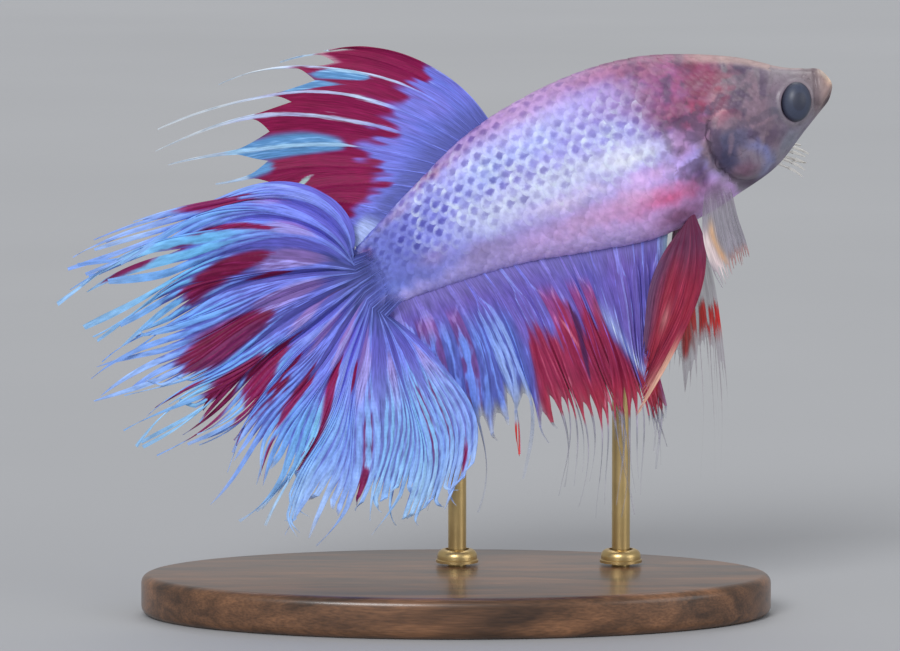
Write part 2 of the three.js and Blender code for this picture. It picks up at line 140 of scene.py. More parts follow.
def plain_body(back, turn, inset):
    """A point of the smooth body in its own millimetres: ahead, left and up."""
    short = np.clip(back / NOSE_ROUND, 0, 1)
    rounding = np.sqrt(1 - (1 - short) ** 2)
    top = NOSE_HEIGHT + (curved(BACKS, TOPS, back) - inset - NOSE_HEIGHT) * rounding
    bottom = NOSE_HEIGHT + (curved(BACKS, BOTTOMS, back) + inset - NOSE_HEIGHT) * rounding
    half = (curved(BACKS, HALVES, back) - inset) * rounding
    upright, flat = np.cos(turn), np.sin(turn)
    side = half * np.sign(flat) * np.abs(flat) ** np.where(upright > 0, BACK_CURVE, BELLY_CURVE)
    middle = (top + bottom) / 2
    height = middle + (top - bottom) / 2 * upright
    return np.stack([-back, side + sideways(back), height], -1)


def body_normal(back, turn):
    along = plain_body(back + 0.05, turn, 0) - plain_body(np.maximum(back - 0.05, 0), turn, 0)
    around = plain_body(back, turn + 0.02, 0) - plain_body(back, turn - 0.02, 0)
    normal = np.cross(around, along)
    return normal / np.maximum(np.linalg.norm(normal, axis=-1, keepdims=True), 1e-9)


def gape_height(back):
    """How high the mouth's opening is: it slants down from the snout's tip."""
    return -0.35 - 0.62 * back


def lip_edge(height):
    """How far behind the snout the groove behind the upper lip is."""
    return 1.2 + 0.28 * (2.3 - height)


def eye_distance(back, height):
    above = height - EYE["height"]
    return np.hypot((back - EYE["back"] + EYE["lean"] * above) / EYE["long"], above / EYE["tall"])


COVER_AT, COVER_SIZE = (10.2, -1.6), (3.15, 4.3)


def cover_distance(back, height):
    """Under 1 on the gill cover, and 1 along its edge."""
    return np.hypot((back - COVER_AT[0]) / COVER_SIZE[0], (height - COVER_AT[1]) / COVER_SIZE[1])


def cover_edge(back, height):
    """1 where the gill cover's edge is free: behind and under it."""
    return blend_in(0.9 * (back - COVER_AT[0]) - 0.55 * (height - COVER_AT[1]), -0.6, 1.2)


def gill_lump(back, height):
    """Under 1 on the soft lump at the foot of the gill cover."""
    return np.hypot((back - 11.1) / 1.25, (height + 4.0) / 1.15)


def folds(back, height):
    """How far the hide stands out of the smooth body, at a place seen from the side."""
    # The eye's socket and rim.
    eye = eye_distance(back, height)
    rise = -0.62 * (1 - blend_in(eye, 0.84, 0.98)) + 0.09 * hump(eye - 1.1, 0.2)
    rise += -0.05 * hump(eye - 1.45, 0.22) * blend_in(back, 3, 5)

    # The upper lip and the groove behind it, the lower lip, and the mouth's opening.
    over_gape = height - gape_height(back)
    in_lip = 1 - blend_in(back - lip_edge(height), -0.35, 0.05)
    rise += 0.1 * in_lip * blend_in(over_gape, 0.1, 0.4)
    rise += 0.12 * hump(over_gape - 0.7, 0.6) * in_lip
    rise += -0.15 * hump(back - lip_edge(height) - 0.1, 0.4) * blend_in(over_gape, 0, 0.4)
    rise += 0.15 * hump(over_gape + 0.42, 0.4) * (1 - blend_in(back, 2.4, 3.2))
    rise += -0.42 * hump(over_gape, 0.24) * (1 - blend_in(back, 1.0, 2.1))

    # The crease of the chin, and the two nostrils.
    chin = height + 1.15 + 0.4 * (back - 2)
    rise += -0.07 * hump(chin, 0.35) * blend_in(back, 1.9, 2.4) * (1 - blend_in(back, 4.6, 6.2))
    for pit_back, pit_height in ((2.6, 2.2), (2.1, 1.8)):
        rise += -0.16 * hump(np.hypot(back - pit_back, height - pit_height), 0.2)

    # The cheek, the gill cover with the slit behind it, the lump at its foot and its crescent.
    rise += 0.14 * hump(np.hypot((back - 6.6) / 1.9, (height + 2.1) / 1.4), 1)
    cover = cover_distance(back, height)
    free = cover_edge(back, height)
    rise += 0.2 * (1 - blend_in(cover, 0.82, 1.0)) * (0.3 + 0.7 * free)
    rise += -0.24 * hump(cover - 1.07, 0.1) * free
    rise += 0.24 * hump(gill_lump(back, height), 1.5)
    rise += 0.05 * hump(back - arc_back(height), 0.7) * arc_reach(height)
    return rise


def arc_back(height):
    """Where the blue crescent in front of the gill lump runs."""
    return 8.7 + 0.28 * (height + 4.0) ** 2 * np.where(height > -4, 0.9, 1.0)


def arc_reach(height):
    """1 at the heights that the crescent spans, and 0 beyond its ends."""
    return blend_in(height, -6.3, -5.2) * (1 - blend_in(height, -2.4, -1.4))


def hide_point(back, turn, inset, rise):
    """A point of the folded hide, and rise over it along its normal."""
    point = plain_body(back, turn, inset)
    # The tail stalk thins to a blade where it goes into the tail fin.
    middle = sideways(back)
    point[..., 1] = middle + (point[..., 1] - middle) * (1 - 0.68 * blend_in(back, 43, 49.4))
    rolled_lip = 0.06 * hump(back - 0.7, 0.7) - 0.07 * hump(back - 1.95, 0.7)
    # The face is set deeper, to give its raised folds room.
    sunk = FOLD_ROOM * (1 - blend_in(back, 13, 18))
    lift = (folds(back, point[..., 2]) - sunk) * blend_in(np.abs(np.sin(turn)), 0.02, 0.3) + rise
    lift = lift + rolled_lip * blend_in(point[..., 2], 0.6, 1.6)
    point = point + body_normal(back, turn) * lift[..., None]
    point[..., 0] -= TIP_ROOM * (1 - blend_in(back, 0.0, 1.2))
    return point


def placed(points):
    """The body's own millimetres to metres of the frame."""
    axes = np.stack([AHEAD, LEFTWARD, UP])
    return (SNOUT + points @ axes) * MM


def spot(back, height, at, size, lean=0.0):
    """1 in the middle of an oval spot. lean tips it up towards the tail."""
    along = (back - at[0]) / size[0]
    above = (height - at[1] - lean * (back - at[0])) / size[1]
    return np.exp(-((along**2 + above**2) ** 1.25))


def laid_over(colour, mask, paint):
    """Colours with a paint over them, as thickly as the mask says."""
    return colour + np.clip(mask, 0, 1)[:, None] * (np.array(paint, float) - colour)


# Soft marks: each one's place behind the snout and height, half sizes, lean, paint, strength.
MARKS = [
    ((15.6, 6.2), (2.3, 2.2), 0.2, (0.65, 0.37, 0.58), 0.75),
    ((16.2, 0.1), (1.4, 1.3), 0.0, (0.80, 0.58, 0.80), 0.75),
    ((16.2, -4.0), (1.3, 1.4), 0.0, (0.46, 0.28, 0.42), 0.8),
    # The pink belly marks on this line to 278, and at 22.5 and 27.5 behind the snout, are the belly's own
    # pink painted paler, as painted light on the underside, which lies in shade.
    ((20.5, -3.9), (4.4, 1.3), 0.0, (0.90, 0.56, 0.78), 0.85),
    ((18.6, -4.4), (2.4, 0.9), 0.05, (0.88, 0.40, 0.60), 0.8),
    ((25.8, -3.9), (3.4, 0.9), 0.0, (0.90, 0.66, 0.88), 0.8),
    ((18.2, -6.5), (2.6, 1.0), 0.0, (0.50, 0.30, 0.44), 0.8),
    ((20.5, 6.4), (3.6, 1.8), 0.1, (0.62, 0.50, 0.80), 0.7),
    ((21.5, 9.4), (4.2, 0.7), 0.05, (0.71, 0.50, 0.66), 0.8),
    ((17.2, 8.4), (2.4, 0.8), 0.3, (0.65, 0.43, 0.56), 0.8),
    ((22.5, 3.8), (2.8, 0.9), 0.0, (0.70, 0.72, 0.96), 0.6),
    # These three near-white marks along the mid flank are a painted highlight, the sheen of the scales there.
    ((21.6, 0.9), (4.0, 1.5), 0.05, (0.92, 0.93, 1.0), 0.95),
    ((28.6, 1.3), (4.6, 1.6), 0.0, (0.86, 0.88, 1.0), 0.9),
    ((35.0, 0.3), (4.4, 2.0), -0.05, (0.84, 0.87, 1.0), 0.85),
    ((19.8, -1.6), (3.4, 0.9), 0.0, (0.95, 0.76, 1.0), 0.8),
    ((22.5, -3.0), (2.8, 1.1), 0.0, (0.90, 0.72, 0.90), 0.7),
    ((29.0, 9.0), (4.4, 1.2), -0.12, (0.76, 0.62, 0.84), 0.85),
    ((29.0, 5.4), (4.6, 1.9), -0.1, (0.68, 0.74, 1.0), 0.75),
    ((28.0, -1.1), (5.0, 1.0), 0.0, (0.92, 0.86, 1.0), 0.8),
    ((27.5, -3.6), (3.2, 1.6), 0.0, (0.80, 0.66, 0.86), 0.8),
    ((35.0, 4.4), (3.6, 1.8), -0.25, (0.68, 0.76, 1.0), 0.75),
    ((37.5, -3.2), (3.0, 1.3), 0.0, (0.60, 0.54, 0.74), 0.8),
    ((42.6, 2.5), (3.0, 1.8), -0.3, (0.42, 0.44, 0.84), 0.8),
    ((42.5, -1.8), (1.8, 1.0), 0.0, (0.60, 0.52, 0.76), 0.6),
    ((47.6, -1.0), (2.8, 3.0), 0.0, (0.44, 0.48, 0.82), 0.85),
    ((48.0, -4.0), (2.4, 1.2), 0.0, (0.48, 0.56, 0.92), 0.75),
    ((38.5, 6.7), (5.6, 0.7), -0.36, (0.76, 0.62, 0.86), 0.8),
    ((40.3, 5.8), (1.9, 0.45), -0.36, (0.62, 0.40, 0.53), 0.6),
    ((44.2, 3.7), (2.2, 0.45), -0.4, (0.68, 0.56, 0.78), 0.7),
    ((48.6, 0.8), (0.6, 0.6), 0.0, (0.62, 0.28, 0.42), 0.8),
    ((6.1, 0.2), (0.9, 1.7), 0.0, (0.36, 0.36, 0.43), 0.7),
    ((6.1, -3.4), (1.3, 0.9), -0.3, (0.48, 0.51, 0.58), 0.6),
    ((7.7, -2.4), (0.9, 1.3), 0.0, (0.52, 0.43, 0.48), 0.6),
    ((8.0, 3.9), (1.5, 1.2), 0.3, (0.40, 0.34, 0.41), 0.8),
    ((8.8, 5.1), (0.9, 0.45), 0.3, (0.38, 0.34, 0.43), 0.75),
    ((10.0, 5.2), (1.3, 0.3), 0.3, (0.70, 0.58, 0.60), 0.6),
    ((10.8, 4.2), (0.9, 0.5), 0.2, (0.56, 0.26, 0.35), 0.85),
    ((11.3, 2.5), (1.1, 1.4), 0.0, (0.84, 0.58, 0.64), 0.85),
    ((13.7, 0.7), (1.0, 1.0), 0.0, (0.72, 0.52, 0.66), 0.8),
    ((13.5, 3.1), (0.9, 0.8), 0.0, (0.72, 0.32, 0.46), 0.85),
    ((13.0, 5.5), (0.9, 1.2), 0.2, (0.50, 0.26, 0.36), 0.75),
    ((15.2, 3.0), (0.6, 0.7), 0.0, (0.42, 0.22, 0.38), 0.75),
    ((8.6, 0.9), (1.5, 1.6), 0.0, (0.42, 0.36, 0.44), 0.7),
    ((11.6, -1.1), (1.5, 1.3), 0.0, (0.30, 0.31, 0.44), 0.85),
    ((12.4, -2.9), (1.4, 1.5), 0.0, (0.24, 0.23, 0.36), 0.95),
    ((10.2, -1.2), (1.0, 0.8), 0.0, (0.38, 0.37, 0.50), 0.7),
    ((10.6, -5.9), (1.7, 0.6), -0.1, (0.40, 0.35, 0.43), 0.7),
    ((11.0, -4.4), (1.3, 1.0), 0.0, (0.46, 0.30, 0.40), 0.8),
    # A painted highlight on the top of the lump at the foot of the gill cover.
    ((10.7, -2.7), (0.5, 0.45), 0.0, (0.50, 0.46, 0.53), 0.6),
    ((15.2, -3.4), (0.8, 0.9), 0.0, (0.29, 0.21, 0.36), 0.85),
    ((14.5, -5.6), (0.9, 0.9), 0.0, (0.44, 0.36, 0.45), 0.7),
]


def body_paint(back, height):
    """The fish's colours from the side, with painted light and shade among them, and how plainly its scales
    show as a net.
    """
    low, high = curved(BACKS, BOTTOMS, back), curved(BACKS, TOPS, back)
    share = (height - low) / (high - low)
    places = np.stack([back, height], -1)
    large, small, vein = cloudy(places, 2.6, 1), cloudy(places, 0.8, 2), marbled(places, 1.25, 3)
    wander = back + 2.2 * (large - 0.5) + 1.0 * (small - 0.5)
    colour = np.tile(np.array([0.66, 0.64, 0.94]), (len(back), 1))
    colour = laid_over(colour, blend_in(share, 0.5, 0.85), (0.66, 0.60, 0.90))
    ridge = blend_in(share, 0.84, 1.0) * (1 - blend_in(back, 38, 46))
    colour = laid_over(colour, ridge, (0.70, 0.54, 0.75))
    # The belly is its own pink, painted paler as painted light on the underside, which lies in shade.
    colour = laid_over(colour, 1 - blend_in(share, 0.1, 0.34), (0.85, 0.70, 0.95))
    colour = laid_over(colour, blend_in(wander, 32, 42), (0.55, 0.57, 0.92))
    colour = laid_over(colour, blend_in(wander, 41, 48), (0.42, 0.45, 0.80))
    rosy = (1 - blend_in(wander - 5 * blend_in(share, 0.4, 1), 13, 19)) * blend_in(share, 0.36, 0.6)
    colour = laid_over(colour, rosy * (0.55 + 0.6 * small), (0.55, 0.30, 0.43))

    # The face is marbled slate, mauve and dull red under a clear skin.
    head = 1 - blend_in(wander + 0.45 * np.abs(height + 1.4), 13.2, 15.0)
    face = np.tile(np.array([0.46, 0.39, 0.46]), (len(back), 1))
    face = laid_over(face, blend_in(share, 0.6, 0.9), (0.55, 0.51, 0.55))
    # The low part of the face is painted paler, partly as painted light under the head, which lies in shade.
    face = laid_over(face, 1 - blend_in(share, 0.1, 0.4), (0.56, 0.53, 0.60))
    face = laid_over(face, 1 - blend_in(back, 1.4, 4.2), (0.53, 0.48, 0.50))
    colour = colour + head[:, None] * (face - colour)
    for at, size, lean, paint, strength in MARKS:
        strayed = back + 0.5 * (vein - 0.5) * size[0], height + 0.6 * (small - 0.5) * size[1]
        mark = spot(*strayed, at, size, lean)
        colour = laid_over(colour, strength * (0.72 + 0.5 * vein) * mark, paint)

    # Dark and pale veins on the head, a red nape, and the pale line along its top.
    ink = (1 - blend_in(back, 15, 21)) * blend_in(back, 4.6, 7.5) * blend_in(share, 0.1, 0.3)
    colour = laid_over(colour, 0.62 * ink * blend_in(vein, 0.53, 0.66), (0.33, 0.27, 0.38))
    colour = laid_over(colour, 0.4 * ink * (1 - blend_in(vein, 0.30, 0.42)), (0.62, 0.50, 0.56))
    red = marbled(places, 1.6, 9)
    on_nape = hump(back - 12, 5.5) * blend_in(share, 0.45, 0.65)
    colour = laid_over(colour, 0.5 * on_nape * blend_in(red, 0.52, 0.64), (0.56, 0.24, 0.35))
    rim = blend_in(share, 0.93, 0.99) * (1 - blend_in(back, 11, 15)) * blend_in(back, 1.5, 3)
    colour = laid_over(colour, 0.8 * rim, (0.72, 0.61, 0.59))

    # The blue crescent, the ring round the eye, the lips and the slit of the gills, with painted highlight
    # and shade on the lips and painted shade in the slit.
    arc_place = back + 0.9 * (small - 0.5) + 0.5 * (vein - 0.5)
    arc = hump(arc_place - arc_back(height), 1.15) * arc_reach(height)
    colour = laid_over(colour, arc * (0.3 + 0.6 * vein), (0.50, 0.52, 0.74))
    eye_ring = hump(eye_distance(back, height) - 1.12, 0.2)
    colour = laid_over(colour, 0.5 * eye_ring, (0.56, 0.53, 0.56))
    over_gape = height - gape_height(back)
    lip = (1 - blend_in(back - lip_edge(height), -0.9, 0.25)) * blend_in(over_gape, -0.1, 0.35)
    nose_round = np.sqrt(1 - (1 - np.clip(back / NOSE_ROUND, 0, 1)) ** 2)
    nose_top = NOSE_HEIGHT + (high - NOSE_HEIGHT) * nose_round
    colour = laid_over(colour, 0.9 * lip, (0.62, 0.52, 0.51))
    # The lip is cream, with a painted highlight making it paler at its top edge and at the snout's tip.
    colour = laid_over(colour, 0.85 * lip * (1 - blend_in(nose_top - height, 0.3, 1.0)), (0.83, 0.76, 0.71))
    colour = laid_over(colour, 0.6 * spot(back, height, (0.1, 0.7), (0.5, 0.6)), (0.90, 0.76, 0.66))
    # Painted shade in the groove behind the upper lip.
    crease = hump(back - lip_edge(height) - 0.1, 0.4) * blend_in(over_gape, 0, 0.4)
    colour = laid_over(colour, 0.45 * crease, (0.44, 0.37, 0.40))
    lower_lip = hump(over_gape + 0.42, 0.4) * (1 - blend_in(back, 2.2, 3.2))
    colour = laid_over(colour, 0.75 * lower_lip, (0.72, 0.60, 0.58))
    # Painted shade in the mouth's opening.
    gape_shade = hump(over_gape, 0.2) * (1 - blend_in(back, 0.9, 2.4))
    colour = laid_over(colour, 0.75 * gape_shade * blend_in(back, 0.5, 0.9), (0.27, 0.23, 0.26))
    # Painted shade in the slit behind the gill cover.
    slit = hump(cover_distance(back, height) - 1.07, 0.13) * cover_edge(back, height)
    colour = laid_over(colour, 0.45 * slit, (0.24, 0.18, 0.26))

    # The keel, pale and painted paler still as painted light on the underside in shade, the streaks at the
    # tail's root, and where the net of scales shows.
    keel_pale_and_lit = (1 - blend_in(share + 0.08 * (small - 0.5), 0.05, 0.22)) * blend_in(back, 21, 25)
    colour = laid_over(colour, 0.75 * keel_pale_and_lit * (0.6 + 0.5 * vein), (0.80, 0.74, 1.0))
    bearing = np.arctan2(height + 1.6, back - 43.5)
    stripe = 0.5 + 0.5 * np.sin(46 * bearing + 3 * (vein - 0.5))
    at_root = blend_in(back + 1.2 * (small - 0.5), 46.0, 49.0)
    colour = laid_over(colour, 0.5 * at_root * stripe, (0.52, 0.58, 0.96))
    colour = laid_over(colour, 0.5 * at_root * (1 - stripe) * blend_in(small, 0.35, 0.7), (0.28, 0.31, 0.58))
    upper = blend_in(height, -2.0, 0.6)
    net = blend_in(back, 13.5, 17) * (0.6 + 0.4 * blend_in(back, 26, 36)) * (0.22 + 0.78 * upper)
    net = net * (1 - 0.45 * hump(height - 0.4, 2.2) * (1 - blend_in(back, 22, 28)))
    return np.clip(colour, 0.02, 1), net


def linear(colour):
    """A colour as it is seen, brought to the light values that a material takes."""
    colour = np.asarray(colour, float)
    return np.where(colour <= 0.04045, colour / 12.92, ((colour + 0.055) / 1.055) ** 2.4)


def give_attribute(piece, name, kind, values):
    """A value or colour for each vertex of a piece."""
    attribute = piece.data.attributes.new(name, kind, "POINT")
    if kind == "FLOAT_COLOR":
        values = np.concatenate([linear(values), np.ones((len(values), 1))], 1)
        attribute.data.foreach_set("color", values.astype(np.float32).ravel())
    else:
        attribute.data.foreach_set("value", values.astype(np.float32))


def give_map(piece, name, places):
    """A UV map from a place for each vertex."""
    corners = np.zeros(len(piece.data.loops), np.int32)
    piece.data.loops.foreach_get("vertex_index", corners)
    layer = piece.data.uv_layers.new(name=name)
    layer.data.foreach_set("uv", places[corners].astype(np.float32).ravel())


def deselect():
    """An operator works on all that is selected, so nothing is left so."""
    for other in bpy.context.selected_objects:
        other.select_set(False)


def alone(piece):
    """Makes a piece the one that an operator works on."""
    deselect()
    piece.select_set(True)
    bpy.context.view_layer.objects.active = piece


def shaped_grid(name, points):
    """A grid primitive whose rows and columns are laid on the points, given in metres."""
    rows, columns = points.shape[:2]
    deselect()
    bpy.ops.mesh.primitive_grid_add(x_subdivisions=columns - 1, y_subdivisions=rows - 1, size=1)
    piece = bpy.context.object
    piece.name = piece.data.name = name
    piece.data.uv_layers.remove(piece.data.uv_layers[0])
    piece.data.vertices.foreach_set("co", points.astype(np.float32).ravel())
    piece.data.update()
    return piece


MERGE = 1e-7


def faces_out(piece, merge=MERGE):
    """Closes the seams and poles of a piece, and turns its faces outwards."""
    alone(piece)
    bpy.ops.object.mode_set(mode="EDIT")
    bpy.ops.mesh.select_all(action="SELECT")
    bpy.ops.mesh.remove_doubles(threshold=merge)
    bpy.ops.mesh.normals_make_consistent(inside=False)
    bpy.ops.object.mode_set(mode="OBJECT")
    bpy.ops.object.shade_smooth()


def new_material(name):
    material = bpy.data.materials.new(name)
    material.use_nodes = True
    tree = material.node_tree
    return material, tree, tree.nodes["Principled BSDF"]


def set_inputs(tree, node, inputs):
    """Gives each socket of a node its value, or links it to another node's output."""
    for key, value in inputs.items():
        if isinstance(value, bpy.types.NodeSocket):
            tree.links.new(value, node.inputs[key])
        else:
            node.inputs[key].default_value = value


def add_node(tree, kind, inputs=None, **settings):
    node = tree.nodes.new(kind)
    for key, value in settings.items():
        setattr(node, key, value)
    set_inputs(tree, node, inputs or {})
    return node


def calc(tree, operation, first, second):
    return add_node(tree, "ShaderNodeMath", {0: first, 1: second}, operation=operation).outputs[0]


def times(tree, vector, factors):
    """A place or a colour with each of its three parts multiplied."""
    return add_node(tree, "ShaderNodeVectorMath", {0: vector, 1: factors}, operation="MULTIPLY").outputs[0]


def mapped(tree, value, low, high, start=0.0, end=1.0, **settings):
    """A value between start and end, brought to between low and high."""
    ends = {"Value": value, "From Min": start, "From Max": end, "To Min": low, "To Max": high}
    return add_node(tree, "ShaderNodeMapRange", ends, **settings).outputs[0]


def overlaid(tree, amount, under, over):
    """One colour over another, as thickly as the amount says."""
    return add_node(tree, "ShaderNodeMix", {0: amount, 6: under, 7: over}, data_type="RGBA").outputs[2]


def relief(tree, height, strength, depth):
    """Fine relief on a surface, of a depth in metres."""
    bump = add_node(tree, "ShaderNodeBump", {"Strength": strength, "Distance": depth, "Height": height})
    return bump.outputs[0]


def own_place(tree):
    return add_node(tree, "ShaderNodeTexCoord").outputs["Object"]


def noise(tree, place, scale, detail, **inputs):
    values = {"Vector": place, "Scale": scale, "Detail": detail, **inputs}
    return add_node(tree, "ShaderNodeTexNoise", values).outputs[0]


def speckle(tree, size_mm, detail=3.0):
    """Fine noise of a given size on the piece itself."""
    return noise(tree, own_place(tree), 1000 / size_mm, detail)


def colour_of(tree, name):
    return add_node(tree, "ShaderNodeAttribute", attribute_name=name).outputs["Color"]


def number_of(tree, name):
    return add_node(tree, "ShaderNodeAttribute", attribute_name=name).outputs["Fac"]


def varied(tree, colour, amount, value):
    """A colour made darker and lighter by a value that runs from 0 to 1."""
    gain = mapped(tree, value, 1 - amount, 1 + amount, 0.3, 0.7)
    return add_node(tree, "ShaderNodeVectorMath", {0: colour, "Scale": gain}, operation="SCALE").outputs[0]


def hide_finish():
    """Wet skin: its markings, which carry painted highlights and painted shade, with fine dark freckles and a
    grain of small pores.
    """
    material, tree, shader = new_material("wet_hide")
    clouds = varied(tree, colour_of(tree, "tint"), 0.14, speckle(tree, 0.8))
    freckle = mapped(tree, speckle(tree, 0.24, 1.0), 0.0, 0.3, 0.60, 0.74)
    set_inputs(tree, shader, {
        "Base Color": overlaid(tree, freckle, clouds, (0.07, 0.05, 0.08, 1)),
        "Roughness": mapped(tree, speckle(tree, 0.5), 0.3, 0.5),
        "Normal": relief(tree, speckle(tree, 0.16), 0.25, 0.06 * MM),
        "Specular IOR Level": 0.4, "Coat Weight": 0.12, "Coat Roughness": 0.25,
    })
    return material


# Rings of the hide stand closer together on the face, and closest at the tip of the snout.
AROUND, FACE_RINGS, REAR_RINGS = 264, 170, 132
FACE_LONG, FACE_CROWDING = 14, 1.25
face_backs = FACE_LONG * np.linspace(0, 1, FACE_RINGS) ** FACE_CROWDING
rear_backs = np.linspace(FACE_LONG, BACKS[-1], REAR_RINGS)[1:]
skin_backs = np.concatenate([face_backs, rear_backs])
turns = np.linspace(0, 2 * math.pi, AROUND + 1)
back_grid, turn_grid = np.meshgrid(skin_backs, turns, indexing="ij")
skin_points = hide_point(back_grid, turn_grid, COAT_DEPTH, np.zeros_like(back_grid))

# The stump of the tail stalk rounds off inside the root of the tail fin.
STUMP_LONG, STUMP_RINGS = 1.1, 8
stump = np.linspace(0, math.pi / 2, STUMP_RINGS + 1)[1:]
last_ring = skin_points[-1]
stump_middle = last_ring[:-1].mean(0)
stump_rings = [stump_middle + (last_ring - stump_middle) * math.cos(a) - (STUMP_LONG * math.sin(a), 0, 0)
               for a in stump]
skin_points = np.concatenate([skin_points, stump_rings])
skin_rows = len(skin_points)

hide = shaped_grid("hide", placed(skin_points))
row_backs = np.concatenate([skin_backs, np.full(len(stump), BACKS[-1])])
flat_backs = np.repeat(row_backs, AROUND + 1)
tint, _ = body_paint(flat_backs, skin_points.reshape(-1, 3)[:, 2])
give_attribute(hide, "tint", "FLOAT_COLOR", tint)
unwrap = np.stack(np.meshgrid(np.linspace(0, 1, AROUND + 1), np.linspace(0, 1, skin_rows)), -1)
give_map(hide, "OFBake", unwrap.reshape(-1, 2))
faces_out(hide)
hide.data.materials.append(hide_finish())
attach(hide, "root")
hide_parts("head", "upper_lip", "lower_jaw", "gill_cover_left", "gill_cover_right",
            "trunk", "tail_stalk")

# ------------------------------------------------------------------ scales
# Thin round plates of clear bone, each rooted in the hide at its front and lapping over
# the ones behind like roof tiles. They are smallest on the cheeks and the head.

SCALES_FROM, SCALES_TO, ROWS_ASIDE = 5.6, 48.9, 16
SCALE_LONG, SCALE_WIDE = 0.78, 1.1
ARC_STEP = 0.1
arc_backs = np.linspace(5, 49.3, 220)
arc_turns = np.radians(np.linspace(-50, 230, 561))
arc_columns = 421

# For each ring of the body, the turn at each distance up or down from the mid flank.
arc_table = np.zeros((len(arc_backs), arc_columns))
arc_places = (np.arange(arc_columns) - arc_columns // 2) * ARC_STEP
for row, ring_back in enumerate(arc_backs):
    ring = plain_body(np.full(len(arc_turns), ring_back), arc_turns, 0)
    steps = np.linalg.norm(np.diff(ring, axis=0), axis=1)
    arc = np.concatenate([[0], np.cumsum(steps)])
    arc -= np.interp(math.pi / 2, arc_turns, arc)
    arc_table[row] = np.interp(arc_places, arc, arc_turns)


def turn_at(back, arc):
    """The turn round the body at a distance along the ring from the mid flank."""
    row = np.clip((back - arc_backs[0]) / (arc_backs[1] - arc_backs[0]), 0, len(arc_backs) - 1.001)
    column = np.clip(arc / ARC_STEP + arc_columns // 2, 0, arc_columns - 1.001)
    i, j = row.astype(int), column.astype(int)
    down, right = row - i, column - j
    near = arc_table[i, j] * (1 - right) + arc_table[i, j + 1] * right
    far = arc_table[i + 1, j] * (1 - right) + arc_table[i + 1, j + 1] * right
    return near * (1 - down) + far * down


PITCH_BACKS = np.array([5, 8, 11, 14, 18, 28, 38, 44, 50.0])


def scale_pitch(back):
    """How far apart scales of one row are, along the fish."""
    return curved(PITCH_BACKS, np.array([0.5, 0.56, 0.74, 1.15, 1.42, 1.42, 1.34, 1.22, 1.05]), back)


def row_gap(back):
    """The distance between rows of scales."""
    return curved(PITCH_BACKS, np.array([0.42, 0.46, 0.56, 0.82, 1.0, 1.02, 0.92, 0.78, 0.68]), back)


# One scale: rings of vertices from its middle to its edge, a thin wall and a flat back.
SCALE_SIDES = 14
SCALE_RINGS = (0.42, 0.76, 1.0)
angles = np.arange(SCALE_SIDES) * 2 * math.pi / SCALE_SIDES
disc = [(0.0, 0.0)]
for ring_size in SCALE_RINGS:
    disc += [(ring_size * math.cos(a), ring_size * math.sin(a)) for a in angles]
disc = np.array(disc)
back_ring = disc[-SCALE_SIDES:]
scale_flat = np.concatenate([disc, back_ring])
scale_edge = np.hypot(scale_flat[:, 0], scale_flat[:, 1])
scale_low = np.concatenate([np.zeros(len(disc)), np.ones(SCALE_SIDES)])
scale_faces = []
for i in range(SCALE_SIDES):
    nxt = (i + 1) % SCALE_SIDES
    scale_faces.append((0, 1 + i, 1 + nxt))
    for ring_number in range(len(SCALE_RINGS)):
        a = 1 + ring_number * SCALE_SIDES
        scale_faces.append((a + i, a + SCALE_SIDES + i, a + SCALE_SIDES + nxt, a + nxt))
scale_faces.append(tuple(range(len(scale_flat) - 1, len(scale_flat) - 1 - SCALE_SIDES, -1)))


def has_scale(back, height, turn):
    """Scales leave bare the snout, the lips, the throat, the eye and the gill slit."""
    if turn < math.radians(-1) or turn > math.radians(181):
        return False
    at_eye = eye_distance(back, height) < 2.0
    on_snout = back < 7.2 - 0.45 * height
    near_slit = abs(cover_distance(back, height) - 1.04) < 0.15
    in_slit = near_slit and float(cover_edge(np.array(back), np.array(height))) > 0.3
    on_lump = gill_lump(back, height) < 1.5
    on_arc = float(arc_reach(height)) > 0 and abs(back - arc_back(height)) < 0.8
    on_throat = back < 12.5 and height < -4.2
    return not (at_eye or on_snout or in_slit or on_lump or on_arc or on_throat)


def scale_roots():
    """Where each scale of one side sits: its place along the fish and its row."""
    roots = []
    back = SCALES_FROM
    column = 0
    while back < SCALES_TO:
        for k in range(-ROWS_ASIDE, ROWS_ASIDE + 1):
            row = 2 * k + column % 2
            turn = float(turn_at(np.array([back]), np.array([row * float(row_gap(back))]))[0])
            height = float(plain_body(np.array([back]), np.array([turn]), 0)[0, 2])
            if has_scale(back, height, turn):
                roots.append((back, row))
        back += 0.5 * float(scale_pitch(back))
        column += 1
    return np.array(roots)


def mesh_piece(name, points, faces):
    """A piece from its points, in metres, and the faces between them."""
    mesh = bpy.data.meshes.new(name)
    mesh.from_pydata(points.tolist(), [], faces)
    piece = bpy.data.objects.new(name, mesh)
    bpy.context.scene.collection.objects.link(piece)
    return piece


def turn_share(turn, side):
    """The share of a whole turn that a scale's root is at, for its place on the map."""
    share = turn / (2 * math.pi)
    return np.clip(share if side > 0 else 1 - share, 0.002, 0.998)


OWN_PATCH = 0.0015


